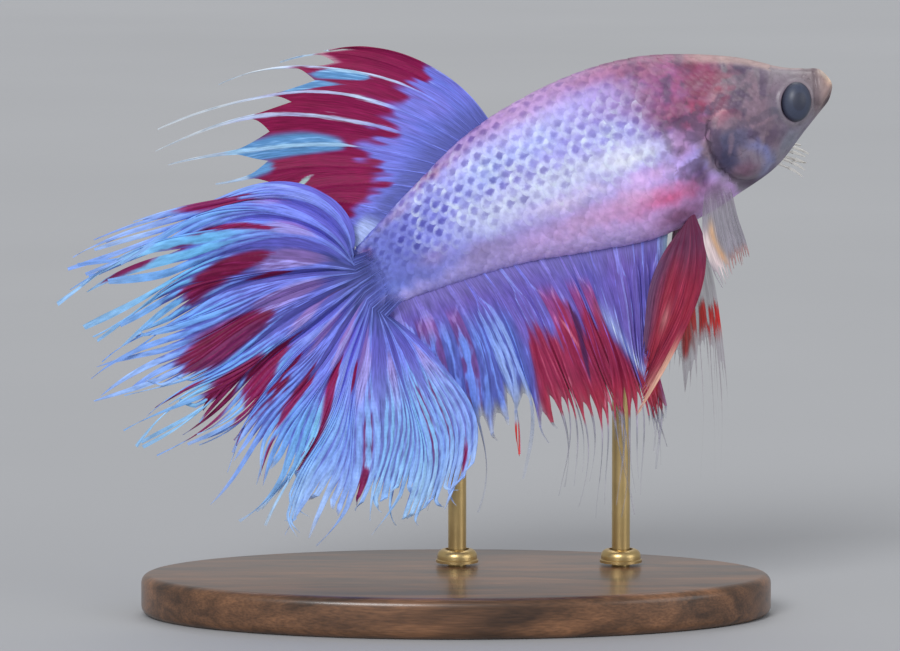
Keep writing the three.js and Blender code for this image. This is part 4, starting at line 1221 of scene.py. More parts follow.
def anal_paint(look):
    """Violet blue, with crimson from the middle to the rim, a pale band, painted shade along a fold, and
    clear threads.
    """
    across, along, rib = look.across, look.along, look.rib
    web = laid_over(painted(look, (0.40, 0.38, 0.74)), 0.7 * look.cloud, (0.54, 0.42, 0.78))
    web = laid_over(web, 0.7 * (1 - blend_in(along + 0.05 * look.fleck, 0.02, 0.12)), (0.50, 0.47, 0.76))
    thin_red = (look.streak > 0.78) * blend_in(along, 0.06, 0.16) * blend_in(across, 0.1, 0.2)
    web = laid_over(web, 0.7 * thin_red, (0.66, 0.24, 0.48))
    ray = painted(look, (0.47, 0.47, 0.88))
    ray = laid_over(ray, 0.7 * blend_in(look.fleck, 0.35, 0.8), (0.60, 0.66, 0.98))
    ray = laid_over(ray, 0.5 * blend_in(look.streak, 0.5, 0.8), (0.58, 0.48, 0.82))
    ray = laid_over(ray, 0.8 * thin_red, (0.80, 0.40, 0.60))
    cover = 0.22 + 0.30 * look.streak * blend_in(look.fleck, 0.2, 0.6) + 0.05 * look.lock
    rear = blend_in(across + 0.05 * (look.fleck - 0.5), 0.66, 0.70) * blend_in(along, 0.06, 0.24)
    web = laid_over(web, rear, (0.36, 0.41, 0.76))
    web = laid_over(web, 0.7 * rear * (look.streak > 0.76), (0.50, 0.28, 0.56))
    ray = laid_over(ray, rear, (0.46, 0.58, 0.95))
    ray = laid_over(ray, 0.8 * rear * blend_in(look.lock, 0.45, 0.8) * look.cloud, (0.78, 0.88, 1.0))
    cover = cover + 0.20 * rear * (0.4 + look.lock)
    edge_noise = 0.11 * (look.fleck - 0.5) + 0.10 * (look.streak - 0.5)
    red_from = np.interp(across, [0.0, 0.14, 0.24, 0.30, 0.37, 0.45, 0.5, 0.56, 0.62, 0.67, 0.7],
                         [0.52, 0.52, 0.50, 0.40, 0.20, 0.25, 0.2, 0.28, 0.24, 0.22, 0.6])
    red = blend_in(along + edge_noise, red_from - 0.03, red_from + 0.06)
    red = red * blend_in(across, 0.0, 0.06) * (1 - blend_in(across + 0.03 * look.streak, 0.67, 0.71))
    web = laid_over(web, red, (0.62, 0.18, 0.34))
    web = laid_over(web, 0.7 * red * blend_in(along, 0.42, 0.62), (0.74, 0.17, 0.22))
    ray = laid_over(ray, red, (0.70, 0.30, 0.42))
    ray = laid_over(ray, red * (look.streak > 0.7) * (1 - blend_in(along, 0.3, 0.5)), (0.56, 0.40, 0.84))
    cover = cover * (1 - red) + 0.3 * red
    # groove: painted shade, a dark line along a fold of the web.
    groove = patch(look, [(0.465, 0.18), (0.485, 0.34), (0.512, 0.48)], 0.014)
    web, ray = both_over(web, ray, groove, (0.28, 0.13, 0.33), (0.28, 0.13, 0.33), 0.85, 0.85)
    for path in ([(0.44, 0.42), (0.49, 0.62)], [(0.575, 0.46), (0.60, 0.56)], [(0.53, 0.24), (0.50, 0.36)]):
        pink = patch(look, path, 0.006)
        web, ray = both_over(web, ray, pink, (0.88, 0.52, 0.62), (0.88, 0.52, 0.62), 0.8, 0.8)
    band_at = np.interp(along, [0.1, 0.2, 0.3, 0.4, 0.5, 0.6], [0.37, 0.345, 0.31, 0.255, 0.18, 0.08])
    band = np.exp(-(((across - band_at) / 0.034) ** 2)) * blend_in(along, 0.14, 0.28)
    band = band * (1 - blend_in(along, 0.56, 0.66))
    web, ray = both_over(web, ray, band, (0.62, 0.70, 0.94), (0.86, 0.92, 1.0), 0.85, 0.95)
    front = (1 - blend_in(across, 0.02, 0.08)) * (1 - blend_in(along, 0.25, 0.5))
    web, ray = both_over(web, ray, front, (0.58, 0.74, 0.78), (0.78, 0.88, 0.88), 0.8, 0.8)
    smoke = np.where(look.tip > 0, blend_in(look.tip, 0.0, 0.1),
                     blend_in(look.to_rim, 0.86, 1.0) * (1 - 0.8 * red))
    smoke = np.maximum(smoke, 0.65 * rear * blend_in(along + 0.10 * look.lock, 0.50, 0.62))
    web, ray = both_over(web, ray, smoke, (0.58, 0.59, 0.65), (0.70, 0.73, 0.80), 1.0, 0.85)
    scarlet = (np.abs(across - 0.752) < 0.012) * blend_in(along, 0.58, 0.62)
    scarlet = scarlet * (1 - blend_in(along, 0.8, 0.86))
    web, ray = both_over(web, ray, scarlet, (0.84, 0.16, 0.14), (0.84, 0.16, 0.14))
    clear = 0.98 - 0.1 * (1 - rib) * blend_in(along, 0.2, 0.5)
    clear = clear - 0.5 * rear * blend_in(along, 0.50, 0.62) * (1 - rib)
    clear = clear - 0.3 * smoke * (1 - rib) * (look.tip <= 0)
    thread = 0.66 - 0.5 * blend_in(look.tip, 0.0, 0.8) + 0.5 * scarlet
    return {"web": web, "ray": ray, "cover": cover, "clear": np.where(look.tip > 0, thread, clear)}


anal_fin = fin_sheet("anal_fan", ANAL, anal_paint, 23)
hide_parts("anal_fin")

# ------------------------------------------------------------------ tail fin
# A great fan of rays and thin web, rooted in the end of the tail stalk. Each ray forks in
# six, so that the rim is a comb of fine needles.

CAUDAL = {
    "rays": 17, "twigs": 6, "columns": 6, "rows": 38, "tip_rows": 20, "tip_half": 1 / 3, "forked": 0.5,
    "root_x": [-50.1, -50.15, -50.1, -49.9, -48.6], "root_y": [-0.35, 0, 0, 0, -0.4],
    "root_z": [1.1, -0.5, -2.4, -4.3, -5.8],
    "start": [32, 158, 207, 241, 316], "end": [184, 193, 200, 230, 238], "ease": [4, 1.6, 1, 1, 1],
    "reach": [34.5, 30, 26.5, 25, 21], "web": [0.76, 0.68, 0.70, 0.78, 0.86],
    "sway": lambda across, along: (-2.8 * (1 - across) ** 2 * np.sqrt(along) - 1.4 * across**3 * along
                                   + 0.85 * along * np.sin(28 * across + 0.6)),
    "rooted": 0.0, "anchor": (2.5, -0.5, 0.0), "anchor_lift": 1.3,
    "rib": 0.06, "rib_thick": 0.15, "web_thick": 0.05, "pleat": [0.24, 0.24, 0.2, 0.12, 0.08],
    "small_pleat": 0.03,
    "ragged": 0.14, "uneven": 0.20, "arch": 0.08, "ray_notch": 0.30, "twig_notch": 0.10, "notch_shape": 0.6,
    "tip_ragged": 0.30, "thread": 0.24, "taper": 1.0, "drift": 3.6, "flutter": 2.0, "stray": 0.8, "grain": 1,
    "crowding": 0.85, "gather": 0.70,
}
# The crimson windows between the rays: the path of each (across, along) and its half width.
CRIMSON_WINDOWS = [
    ([(0.085, 0.38), (0.055, 0.50), (0.035, 0.69)], 0.024), ([(0.142, 0.30), (0.125, 0.52)], 0.010),
    ([(0.195, 0.27), (0.215, 0.42), (0.24, 0.58)], 0.024), ([(0.232, 0.20), (0.242, 0.36)], 0.007),
    ([(0.320, 0.33), (0.318, 0.45), (0.325, 0.70)], 0.042),
    ([(0.44, 0.27), (0.46, 0.45), (0.495, 0.67)], 0.023),
    ([(0.405, 0.42), (0.43, 0.62), (0.465, 0.84)], 0.028), ([(0.383, 0.60), (0.39, 0.86)], 0.011),
    ([(0.50, 0.30), (0.545, 0.57)], 0.009), ([(0.56, 0.30), (0.588, 0.44), (0.60, 0.62)], 0.017),
    ([(0.652, 0.25), (0.672, 0.42), (0.692, 0.70)], 0.018), ([(0.725, 0.20), (0.735, 0.35)], 0.007),
    ([(0.785, 0.66), (0.785, 0.86)], 0.010), ([(0.955, 0.68), (0.96, 0.80)], 0.005),
    ([(0.535, 0.72), (0.55, 0.92)], 0.008), ([(0.012, 0.18), (0.012, 0.34)], 0.012),
    ([(0.155, 0.66), (0.16, 0.84)], 0.006), ([(0.61, 0.62), (0.615, 0.80)], 0.006),
]
# The paler lilac lights between the rays, in the same way.
LILAC_WINDOWS = [
    ([(0.195, 0.08), (0.215, 0.34)], 0.026), ([(0.285, 0.08), (0.305, 0.40)], 0.034),
    ([(0.355, 0.05), (0.42, 0.34)], 0.020), ([(0.485, 0.08), (0.52, 0.32)], 0.018),
    ([(0.60, 0.04), (0.65, 0.30)], 0.030), ([(0.755, 0.08), (0.765, 0.38)], 0.026),
    ([(0.845, 0.14), (0.838, 0.44)], 0.013), ([(0.945, 0.16), (0.955, 0.66)], 0.020),
    ([(0.135, 0.16), (0.142, 0.34)], 0.014), ([(0.095, 0.28), (0.07, 0.42)], 0.018),
    ([(0.085, 0.62), (0.06, 0.90)], 0.040),
]


def caudal_paint(look):
    """Violet blue turning sky blue, with crimson windows and pale needles at the rim."""
    across, along = look.across, look.along
    web = laid_over(painted(look, (0.38, 0.40, 0.80)), 0.6 * look.cloud, (0.48, 0.43, 0.84))
    web = laid_over(web, 0.7 * (1 - blend_in(along, 0.0, 0.14)), (0.35, 0.39, 0.70))
    ray = painted(look, (0.47, 0.52, 0.95))
    ray = laid_over(ray, 0.75 * (1 - blend_in(along, 0.02, 0.16)), (0.47, 0.53, 0.86))
    ray = laid_over(ray, 0.5 * look.fleck, (0.54, 0.62, 0.98))
    cover = 0.44 + 0.20 * (look.lock - 0.5) + 0.10 * blend_in(along, 0.3, 0.5)
    for path, half in LILAC_WINDOWS:
        lilac = patch(look, path, half, 0.07)
        web, ray = both_over(web, ray, lilac, (0.62, 0.48, 0.78), (0.74, 0.64, 0.90), 0.8, 0.6)
    sky = blend_in(along + 0.16 * (look.cloud - 0.5) + 0.08 * (look.streak - 0.5), 0.26, 0.5)
    ray = laid_over(ray, 0.75 * sky, (0.44, 0.62, 0.95))
    aqua_zone = sum(hump(across - at, reach)
                    for at, reach in ((0.19, 0.13), (0.42, 0.12), (0.66, 0.1), (0.86, 0.12)))
    ray = laid_over(ray, sky * aqua_zone * (0.35 + 0.6 * look.streak), (0.44, 0.78, 0.96))
    web = laid_over(web, 0.75 * sky, (0.38, 0.47, 0.86))
    pale_low = hump(across - 0.86, 0.26) * blend_in(along, 0.16, 0.4)
    web = laid_over(web, 0.8 * pale_low, (0.54, 0.60, 0.93))
    ray = laid_over(ray, 0.55 * pale_low * (0.4 + 0.6 * look.lock), (0.74, 0.80, 1.0))
    bright_lock = blend_in(look.lock, 0.55, 0.9) * blend_in(along, 0.12, 0.3)
    ray = laid_over(ray, 0.5 * bright_lock * look.fleck, (0.78, 0.86, 1.0))
    needle = blend_in(along, 0.56, 0.80)
    ray = laid_over(ray, 0.6 * needle * (0.3 + 0.7 * look.streak), (0.74, 0.85, 0.99))
    web = laid_over(web, 0.5 * needle, (0.42, 0.50, 0.84))
    cover = cover + 0.12 * needle
    for path, half in CRIMSON_WINDOWS:
        window = patch(look, path, half)
        web = laid_over(web, window, CRIMSON)
        ray = laid_over(ray, 0.95 * window, (0.53, 0.12, 0.34))
        cover = cover - 0.12 * window
    sliver = (look.streak > 0.86) * blend_in(along, 0.3, 0.4) * (1 - blend_in(along, 0.6, 0.72))
    web = laid_over(web, 0.8 * sliver * (look.cloud > 0.45), (0.50, 0.16, 0.42))
    low = blend_in(across, 0.35, 0.7)
    speck = (1 - blend_in(along + 0.08 * look.fleck, 0.10, 0.20)) * blend_in(look.fleck, 0.5, 0.7)
    web, ray = both_over(web, ray, speck, (0.25, 0.28, 0.55), (0.32, 0.37, 0.68), 0.7, 0.6)
    fade = blend_in(look.tip, 0.35, 1.0)
    web, ray = laid_over(web, 0.6 * low * fade, SMOKE), laid_over(ray, 0.5 * low * fade, (0.74, 0.77, 0.84))
    shade = (0.84 + 0.3 * look.lock)[:, None]
    clear = (0.985 - (0.30 + 0.35 * low) * blend_in(look.tip, 0.45, 1.0)) * blend_in(along, -0.045, 0.0)
    return {"web": web * shade, "ray": ray * (0.94 + 0.06 * shade), "cover": cover, "clear": clear}


caudal_fin = fin_sheet("tail_fan", CAUDAL, caudal_paint, 37)
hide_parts("caudal_fin")

# ------------------------------------------------------------------ pelvic fins
# A pair of long blades of rays and web, rooted side by side under the throat. The right one
# is red, and cream along its front towards the tip. The left one is clear, with red tufts.

PELVIC = {
    "rays": 6, "twigs": 3, "columns": 10, "rows": 60, "tip_rows": 30, "tip_half": 0.1, "forked": 0.6,
    "root_x": [-16.9, -18.5, -20.3], "root_z": [-8.1, -8.35, -8.4],
    "rooted": 1.5, "rib": 0.06, "rib_thick": 0.17, "web_thick": 0.11, "pleat": 0.05, "small_pleat": 0.01,
    "ragged": 0.05, "uneven": 0.04, "arch": 0.02, "ray_notch": 0.06, "twig_notch": 0.04, "notch_shape": 0.6,
    "tip_ragged": 0.2, "thread": 0.24, "taper": 1.6, "drift": 1.2, "flutter": 1.0, "stray": 0.12,
    "grain": 1.4, "crowding": 0.3, "gather": 0.0,
}
RIGHT_PELVIC = {
    **PELVIC, "root_y": [-1.2, -1.25, -1.3], "start": [279, 245, 206], "end": [216.5, 226, 254],
    "ease": [3.9, 2.0, 1.45], "reach": [23.2, 15.1, 11.3], "web": [0.88, 0.90, 0.93],
    "sway": lambda across, along: -2.3 * along**1.5 + 0.5 * along * np.sin(6 * across),
}
LEFT_PELVIC = {
    **PELVIC, "root_y": [1.2, 1.25, 1.3], "start": [270, 258, 240], "end": [250, 246, 240], "ease": [2, 1, 1],
    "reach": [26, 25, 20], "web": [0.48, 0.54, 0.6], "tip_ragged": 0.6, "thread": 0.14,
    "uneven": 0.3, "ragged": 0.2,
    "sway": lambda across, along: 2.6 * along**1.5 + 0.5 * along * np.sin(6 * across),
}


def blade_paint(look):
    """Dull red, mauve at the root, as both blades are."""
    along, rib = look.along, look.rib
    web = painted(look, (0.58, 0.15, 0.27))
    web = laid_over(web, 0.7 * look.cloud * blend_in(along, 0.2, 0.5), (0.65, 0.18, 0.26))
    web = laid_over(web, 0.85 * (1 - blend_in(along + 0.12 * look.cloud, 0.1, 0.42)), (0.43, 0.25, 0.38))
    web = laid_over(web, 0.35 * blend_in(look.fleck, 0.55, 0.8), (0.46, 0.10, 0.26))
    ray = painted(look, (0.65, 0.22, 0.33))
    ray = laid_over(ray, 0.7 * (1 - blend_in(along, 0.05, 0.35)), (0.48, 0.26, 0.38))
    clear = 0.985 - 0.08 * (1 - rib)
    return {"web": web, "ray": ray, "cover": 0.20 + 0.14 * look.lock, "clear": clear}


def right_blade_paint(look):
    """A painted shadow of the anal fin in slate along its rear, a painted glow of red along its front, a
    painted highlight in its middle, and cream along its front towards the tip.
    """
    across, along, finish = look.across, look.along, blade_paint(look)
    # slate: a painted shadow, cast by the anal fin along the blade's rear.
    slate = blend_in(across, 0.62, 0.90) * blend_in(along, 0.05, 0.3)
    cream_to = 0.26 + 0.25 * blend_in(along, 0.6, 1.0)
    cream = (1 - blend_in(across, 0.10, cream_to)) * blend_in(along, 0.46, 0.66)
    # A painted glow of brighter red along the blade's front.
    painted_glow = (1 - blend_in(across, 0.02, 0.16)) * blend_in(along, 0.2, 0.45)
    # A pale painted highlight in the middle of the blade.
    highlight_spot = np.exp(-(((across - 0.55) / 0.05) ** 2 + ((along - 0.58) / 0.10) ** 2))
    for part, cream_paint in (("web", (0.88, 0.72, 0.62)), ("ray", (0.95, 0.86, 0.80))):
        finish[part] = laid_over(finish[part], 0.85 * slate, (0.36, 0.27, 0.42))
        finish[part] = laid_over(finish[part], 0.3 * painted_glow, (0.74, 0.24, 0.24))
        finish[part] = laid_over(finish[part], 0.6 * highlight_spot, (0.78, 0.60, 0.58))
        finish[part] = laid_over(finish[part], 0.9 * cream, cream_paint)
    finish["clear"] = finish["clear"] - 0.5 * blend_in(look.tip, 0.0, 0.6)
    return finish


def left_blade_paint(look):
    """Clear grey, with tufts of red half way down."""
    across, along, finish = look.across, look.along, blade_paint(look)
    uneven = along + 0.08 * (look.fleck - 0.5) + 0.10 * (look.lock - 0.5)
    finish["web"] = laid_over(finish["web"], blend_in(along, 0.02, 0.1), (0.60, 0.56, 0.61))
    finish["ray"] = laid_over(finish["ray"], blend_in(along, 0.02, 0.1), (0.76, 0.73, 0.77))
    tufts = blend_in(uneven, 0.27, 0.33) * (1 - blend_in(uneven, 0.38, 0.46)) * (look.tip <= 0)
    tufts = tufts * (1 - blend_in(across, 0.6, 0.8)) * blend_in(look.fleck + 0.4 * look.streak, 0.5, 0.8)
    rear_red = blend_in(across, 0.5, 0.6) * blend_in(uneven, 0.34, 0.40)
    rear_red = rear_red * (1 - blend_in(uneven, 0.46, 0.54))
    for part in ("web", "ray"):
        finish[part] = laid_over(finish[part], np.maximum(tufts, 0.8 * rear_red), (0.80, 0.15, 0.15))
    red = np.maximum(tufts, rear_red)
    clear = 0.26 + 0.14 * look.rib + 0.5 * red - 0.36 * blend_in(look.tip, 0.0, 0.7)
    finish["clear"] = clear + 0.5 * (1 - blend_in(along, 0.04, 0.16))
    return finish


right_pelvic = fin_sheet("pelvic_blade_right", RIGHT_PELVIC, right_blade_paint, 41)
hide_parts("pelvic_fin_right")
left_pelvic = fin_sheet("pelvic_blade_left", LEFT_PELVIC, left_blade_paint, 43)
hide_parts("pelvic_fin_left")

# ------------------------------------------------------------------ pectoral fins
# The paddles behind the gills: clear web on fine pale rays, rooted in the flanks. The
# right one is folded down, and the left one is spread.

PECTORAL = {
    "rays": 7, "twigs": 2, "columns": 10, "rows": 40, "tip_rows": 12, "tip_half": 0.2, "forked": 0.6,
    "rib": 0.09, "rib_thick": 0.13, "web_thick": 0.04, "pleat": 0.05, "small_pleat": 0.01,
    "ragged": 0.05, "uneven": 0.06, "arch": 0.03, "ray_notch": 0.10, "twig_notch": 0.05, "notch_shape": 0.6,
    "tip_ragged": 0.06, "thread": 0.3, "taper": 1.2, "drift": 0.6, "flutter": 0.3, "stray": 0.08,
    "grain": 1.5, "rooted": 0.3, "crowding": 0.3, "gather": 0.0,
}
RIGHT_PECTORAL = {
    **PECTORAL, "root_x": [-12.8, -14.1, -15.4], "root_y": [-3, -3.25, -3.4], "root_z": [-5.2, -4.8, -4.5],
    "start": [262, 258, 232], "end": [268, 264, 284], "ease": [1], "reach": [7, 8.4, 10.6],
    "web": [0.90, 0.90, 0.84], "anchor": (0.4, 1.7, 1.1),
    "sway": lambda across, along: -3.6 * along + 1.1 * along**2 - 1.2 * across * along,
}
LEFT_PECTORAL = {
    **PECTORAL, "root_x": [-14.3, -14.6, -14.9], "root_y": [3.45, 3.15, 2.75], "root_z": [-4.2, -5, -5.8],
    "start": [34, 32, 34], "end": [-42, -56, -68], "ease": [1], "reach": [10.6, 11.3, 10.6],
    "web": [0.78, 0.80, 0.80], "anchor": (-0.6, -1.0, 0.4),
    "sway": lambda across, along: 6.2 * along - 1.2 * along**2,
    "rays": 6, "twigs": 1, "columns": 20, "rib": 0.17, "rib_thick": 0.42, "thread": 0.6, "grain": 12,
}


def right_paddle_paint(look):
    """Clear grey, pale where it is folded, with a painted highlight alongside the fold and orange tips to its
    rays.
    """
    across, along, rib = look.across, look.along, look.rib
    fold_at = 0.92 - 0.20 * blend_in(along, 0.45, 1.0)
    fold = np.exp(-(((across - fold_at) / 0.13) ** 2)) * blend_in(along, 0.30, 0.50)
    # A painted highlight of pale orange alongside the fold.
    painted_glow = np.exp(-(((across - fold_at + 0.13) / 0.05) ** 2)) * blend_in(along, 0.25, 0.45)
    painted_glow = painted_glow * (1 - blend_in(along, 0.7, 0.95))
    web = painted(look, (0.53, 0.51, 0.57))
    web = laid_over(web, 0.8 * (1 - blend_in(along, 0.05, 0.35)), (0.50, 0.41, 0.52))
    web = laid_over(web, 0.7 * look.cloud, (0.64, 0.61, 0.67))
    ray = painted(look, (0.59, 0.56, 0.62))
    web, ray = both_over(web, ray, fold, (0.86, 0.79, 0.80), (0.97, 0.93, 0.92))
    web, ray = both_over(web, ray, painted_glow, (0.90, 0.70, 0.52), (0.96, 0.80, 0.64), 0.8, 0.8)
    orange = blend_in(look.to_rim, 0.84, 0.99) * (1 - blend_in(across, 0.5, 0.66))
    web, ray = both_over(web, ray, orange, (0.85, 0.45, 0.35), (0.92, 0.58, 0.48), 0.35, 0.75)
    clear = 0.54 + 0.10 * rib + 0.42 * fold
    clear = clear * (0.06 + 0.94 * blend_in(along + 0.05 * look.cloud, 0.03, 0.22))
    return {"web": web, "ray": ray, "cover": 0.30, "clear": clear * (1 - 0.35 * look.tip)}


def left_paddle_paint(look):
    """Clear, with rays painted near white towards their tips as a painted highlight."""
    # lit: where the rays and web are painted near white, a painted highlight on tips that lie in shade.
    lit = blend_in(look.along, 0.44, 0.60)
    web = painted(look, (0.76, 0.72, 0.72))
    ray = laid_over(painted(look, (0.84, 0.79, 0.77)), lit, (1.0, 0.99, 0.97))
    clear = 0.05 + (0.2 + 1.1 * lit) * blend_in(look.rib, 0.15, 0.6)
    return {"web": laid_over(web, lit, (1.0, 0.86, 0.74)), "ray": ray, "cover": 0.6, "clear": clear}


right_pectoral = fin_sheet("pectoral_paddle_right", RIGHT_PECTORAL, right_paddle_paint, 51)
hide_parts("pectoral_fin_right")
left_pectoral = fin_sheet("pectoral_paddle_left", LEFT_PECTORAL, left_paddle_paint, 53)
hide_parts("pectoral_fin_left")

# ------------------------------------------------------------------ display stand
# An oval base turned and routed from lacquered walnut, and two bent brass rods. Each rod
# stands in a blind hole under a small turned collar and ends in the fish's left flank.

BASE = {"long": 31, "wide": 17.5, "thick": 4.0, "edge": 0.9, "edge_steps": 6, "sides": 160}
ROD = {"radius": 0.9, "side": 5.6, "foot": 2.0, "upright": 0.62, "lean": 0.86, "lean_in": 0.45,
       "sunk": 1.4, "deep": 2.1, "stations": 60, "sides": 28}
ROD_SEATS = {"front": (24.0, 137), "rear": (40.5, 128)}
BEAD = {"below": 2.2, "half_long": 0.8, "rise": 0.35}
COLLAR = {"radius": 2.1, "height": 1.3, "floor": 4.3, "bore": 1.2, "foot": 0.25, "step": 0.12,
          "above_step": 0.33, "side_to": 0.62, "shoulder": 0.68, "lip": 0.1, "sides": 48}
WALNUT, BRASS = (0.105, 0.048, 0.022), (0.60, 0.44, 0.20)


def walnut_finish():
    """Dark walnut with its grain along the base, under satin lacquer."""
    material, tree, shader = new_material("lacquered_walnut")
    place = own_place(tree)
    grain = noise(tree, times(tree, place, (60, 420, 420)), 1.0, 5.0, Distortion=0.6)
    fine = noise(tree, times(tree, place, (350, 6000, 6000)), 1.0, 2.0)
    ramp = add_node(tree, "ShaderNodeValToRGB", {0: grain})
    for element, stop, shade in zip(ramp.color_ramp.elements, (0.34, 0.66), (0.45, 1.9)):
        element.position = stop
        element.color = (*(shade * v for v in WALNUT), 1)
    set_inputs(tree, shader, {
        "Base Color": varied(tree, ramp.outputs[0], 0.3, fine), "Roughness": mapped(tree, grain, 0.30, 0.42),
        "Normal": relief(tree, fine, 0.15, 0.04 * MM), "Coat Weight": 0.3, "Coat Roughness": 0.15,
    })
    return material


def brass_finish():
    """Brushed brass, a little darker where it has been handled."""
    material, tree, shader = new_material("brushed_brass")
    lines = noise(tree, times(tree, own_place(tree), (9000, 9000, 700)), 1.0, 2.0)
    set_inputs(tree, shader, {
        "Base Color": varied(tree, BRASS, 0.12, speckle(tree, 3.0)), "Metallic": 1.0,
        "Roughness": mapped(tree, lines, 0.26, 0.46), "Normal": relief(tree, lines, 0.1, 0.02 * MM),
    })
    return material


walnut, brass = walnut_finish(), brass_finish()

# The base is a short cylinder drawn out to an oval, with both its edges rounded over.
deselect()
bpy.ops.mesh.primitive_cylinder_add(vertices=BASE["sides"], radius=1, depth=BASE["thick"] * MM,
                                    location=(0, 0, BASE["thick"] * MM / 2))
plinth = bpy.context.object
plinth.name = plinth.data.name = "walnut_base"
plinth.scale = (BASE["long"] * MM, BASE["wide"] * MM, 1)
bpy.ops.object.transform_apply(location=True, rotation=True, scale=True)
bpy.ops.object.mode_set(mode="EDIT")
bpy.ops.mesh.select_all(action="SELECT")
bpy.ops.mesh.dissolve_limited(angle_limit=math.radians(0.5))
bpy.ops.object.mode_set(mode="OBJECT")
bpy.ops.object.modifier_add(type="BEVEL")
round_over = plinth.modifiers[-1]
round_over.width, round_over.segments = BASE["edge"] * MM, BASE["edge_steps"]
round_over.limit_method, round_over.angle_limit = "ANGLE", math.radians(50)
bpy.ops.object.modifier_apply(modifier=round_over.name)
bpy.ops.object.shade_smooth_by_angle(angle=math.radians(35))
plinth.data.materials.append(walnut)
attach(plinth, "root")
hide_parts("stand_base")


def turned_rings(centres, headings, radii, sides):
    """Rings of points about a path, as a lathe or a bent bar leaves them."""
    turns_round = np.linspace(0, 2 * math.pi, sides + 1)
    rings = []
    for centre, heading, radius in zip(centres, headings, radii):
        heading = heading / np.linalg.norm(heading)
        across_bar = np.cross(heading, (1.0, 0, 0))
        across_bar /= np.linalg.norm(across_bar)
        other = np.cross(heading, across_bar)
        rings.append([centre + radius * (math.cos(a) * across_bar + math.sin(a) * other)
                      for a in turns_round])
    return np.array(rings)


for rod_name, (seat_back, seat_turn) in ROD_SEATS.items():
    seat = placed(plain_body(np.array([seat_back]), np.radians([seat_turn]), 0))[0] / MM
    inside = placed(plain_body(np.array([seat_back]), np.radians([seat_turn]), ROD["sunk"]))[0] / MM
    low_end = BASE["thick"] - ROD["deep"]
    heights = [low_end + (seat[2] - low_end) * ROD[key] for key in ("upright", "lean")]
    lean_y = ROD["side"] + (seat[1] - ROD["side"]) * ROD["lean_in"]
    over_collar = BASE["thick"] + COLLAR["height"] + ROD["foot"]
    knots = np.array([(seat[0], ROD["side"], low_end), (seat[0], ROD["side"], over_collar),
                      (seat[0], ROD["side"], heights[0]), (seat[0], lean_y, heights[1]), inside])
    lengths = np.concatenate([[0], np.cumsum(np.linalg.norm(np.diff(knots, axis=0), axis=1))])
    stations = np.linspace(0, lengths[-1], ROD["stations"])
    route = np.stack([curved(lengths, knots[:, axis], stations) for axis in range(3)], -1)
    headings = np.gradient(route, axis=0)
    radii = np.full(len(route), ROD["radius"])
    radii[0], radii[-1] = 0.0, 0.0
    # A bead swells the rod where it meets the skin.
    from_bead = np.abs(stations - stations[-1] + BEAD["below"])
    radii = radii + BEAD["rise"] * np.sqrt(np.clip(1 - (from_bead / BEAD["half_long"]) ** 2, 0, 1))
    bar = shaped_grid(f"brass_rod_{rod_name}", turned_rings(route, headings, radii, ROD["sides"]) * MM)
    # A turned collar: out over its flat foot, up its side, in over a rounded shoulder.
    bore, body = COLLAR["bore"], COLLAR["radius"] - COLLAR["step"]
    profile = [(bore, 0), (COLLAR["radius"], 0), (COLLAR["radius"], COLLAR["foot"])]
    profile += [(body, COLLAR["above_step"]), (body, COLLAR["side_to"])]
    profile += [(bore + COLLAR["lip"] + COLLAR["shoulder"] * math.cos(a),
                 COLLAR["side_to"] + COLLAR["shoulder"] * math.sin(a))
                for a in np.linspace(0, math.pi / 2, 7)]
    profile += [(bore, COLLAR["height"]), (bore, 0)]
    centres = np.array([(seat[0], ROD["side"], COLLAR["floor"] + up) for _, up in profile])
    rings = turned_rings(centres, np.tile([0, 0, 1.0], (len(profile), 1)), [r for r, _ in profile],
                         COLLAR["sides"])
    ring = shaped_grid(f"brass_collar_{rod_name}", rings * MM)
    for piece, node in ((bar, f"stand_rod_{rod_name}"), (ring, f"stand_collar_{rod_name}")):
        faces_out(piece)
        bpy.ops.object.shade_smooth_by_angle(angle=math.radians(40))
        piece.data.materials.append(brass)
        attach(piece, "root")
        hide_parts(node)

# ------------------------------------------------------------------ room
# A pale grey table top under soft studio lamps, and a camera that sees the fish's right
# side from a little above.

FLOOR_RADIUS = 2.5
FLOOR_GREY, ROOM_WHITE = (0.42, 0.43, 0.45), (0.97, 0.98, 1.0, 1)
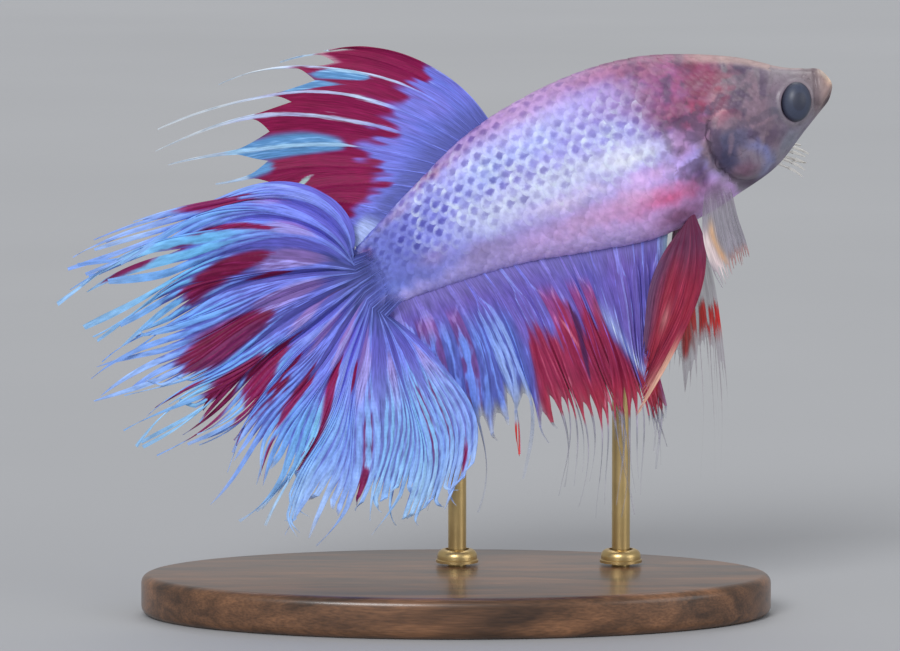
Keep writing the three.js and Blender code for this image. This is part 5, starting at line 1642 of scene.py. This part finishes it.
# Each lamp is as wide as a soft box: where it stands, how strong it is and how wide.
LAMPS = {"key": ((-0.3, -0.8, 0.55), 1.75, 22), "fill": ((0.8, -0.5, 0.3), 0.5, 35),
         "top": ((0.0, 0.5, 0.85), 0.55, 35)}

deselect()
bpy.ops.mesh.primitive_circle_add(vertices=96, radius=FLOOR_RADIUS, fill_type="NGON", location=(0, 0, 0))
floor = bpy.context.object
floor.name = "floor"
floor_material, tree, shader = new_material("pale_table_top")
clouds = noise(tree, own_place(tree), 6.0, 4.0)
set_inputs(tree, shader, {"Base Color": varied(tree, FLOOR_GREY, 0.03, clouds), "Roughness": 0.8})
floor.data.materials.append(floor_material)

world = bpy.data.worlds.new("room")
bpy.context.scene.world = world
world.use_nodes = True
set_inputs(world.node_tree, world.node_tree.nodes["Background"], {"Color": ROOM_WHITE, "Strength": 0.45})

for lamp_name, (stand, strength, width) in LAMPS.items():
    lamp = bpy.data.lights.new(lamp_name, "SUN")
    lamp.energy = strength
    lamp.angle = math.radians(width)
    holder = bpy.data.objects.new(lamp_name, lamp)
    bpy.context.scene.collection.objects.link(holder)
    holder.rotation_euler = Vector(stand).to_track_quat("Z", "Y").to_euler()

# The image is 900 wide, and the lens is as long as makes a millimetre of the fish 10.2 wide.
ELEVATION, DISTANCE = math.radians(6), 0.6
AIM = (-0.0006, 0.0, 0.0285)
SENSOR_WIDE, IMAGE_WIDE, MM_WIDE = 36, 900, 10.2
camera_data = bpy.data.cameras.new("camera")
camera = bpy.data.objects.new("camera", camera_data)
bpy.context.scene.collection.objects.link(camera)
camera.location = (AIM[0], AIM[1] - DISTANCE * math.cos(ELEVATION), AIM[2] + DISTANCE * math.sin(ELEVATION))
camera.rotation_euler = (math.pi / 2 - ELEVATION, 0, 0)
camera_data.sensor_width = SENSOR_WIDE
camera_data.lens = SENSOR_WIDE * DISTANCE * 1000 * MM_WIDE / IMAGE_WIDE
camera_data.clip_start = 0.01
bpy.context.scene.camera = camera
bpy.context.scene.view_settings.view_transform = "Standard"

bpy.context.view_layer.update()
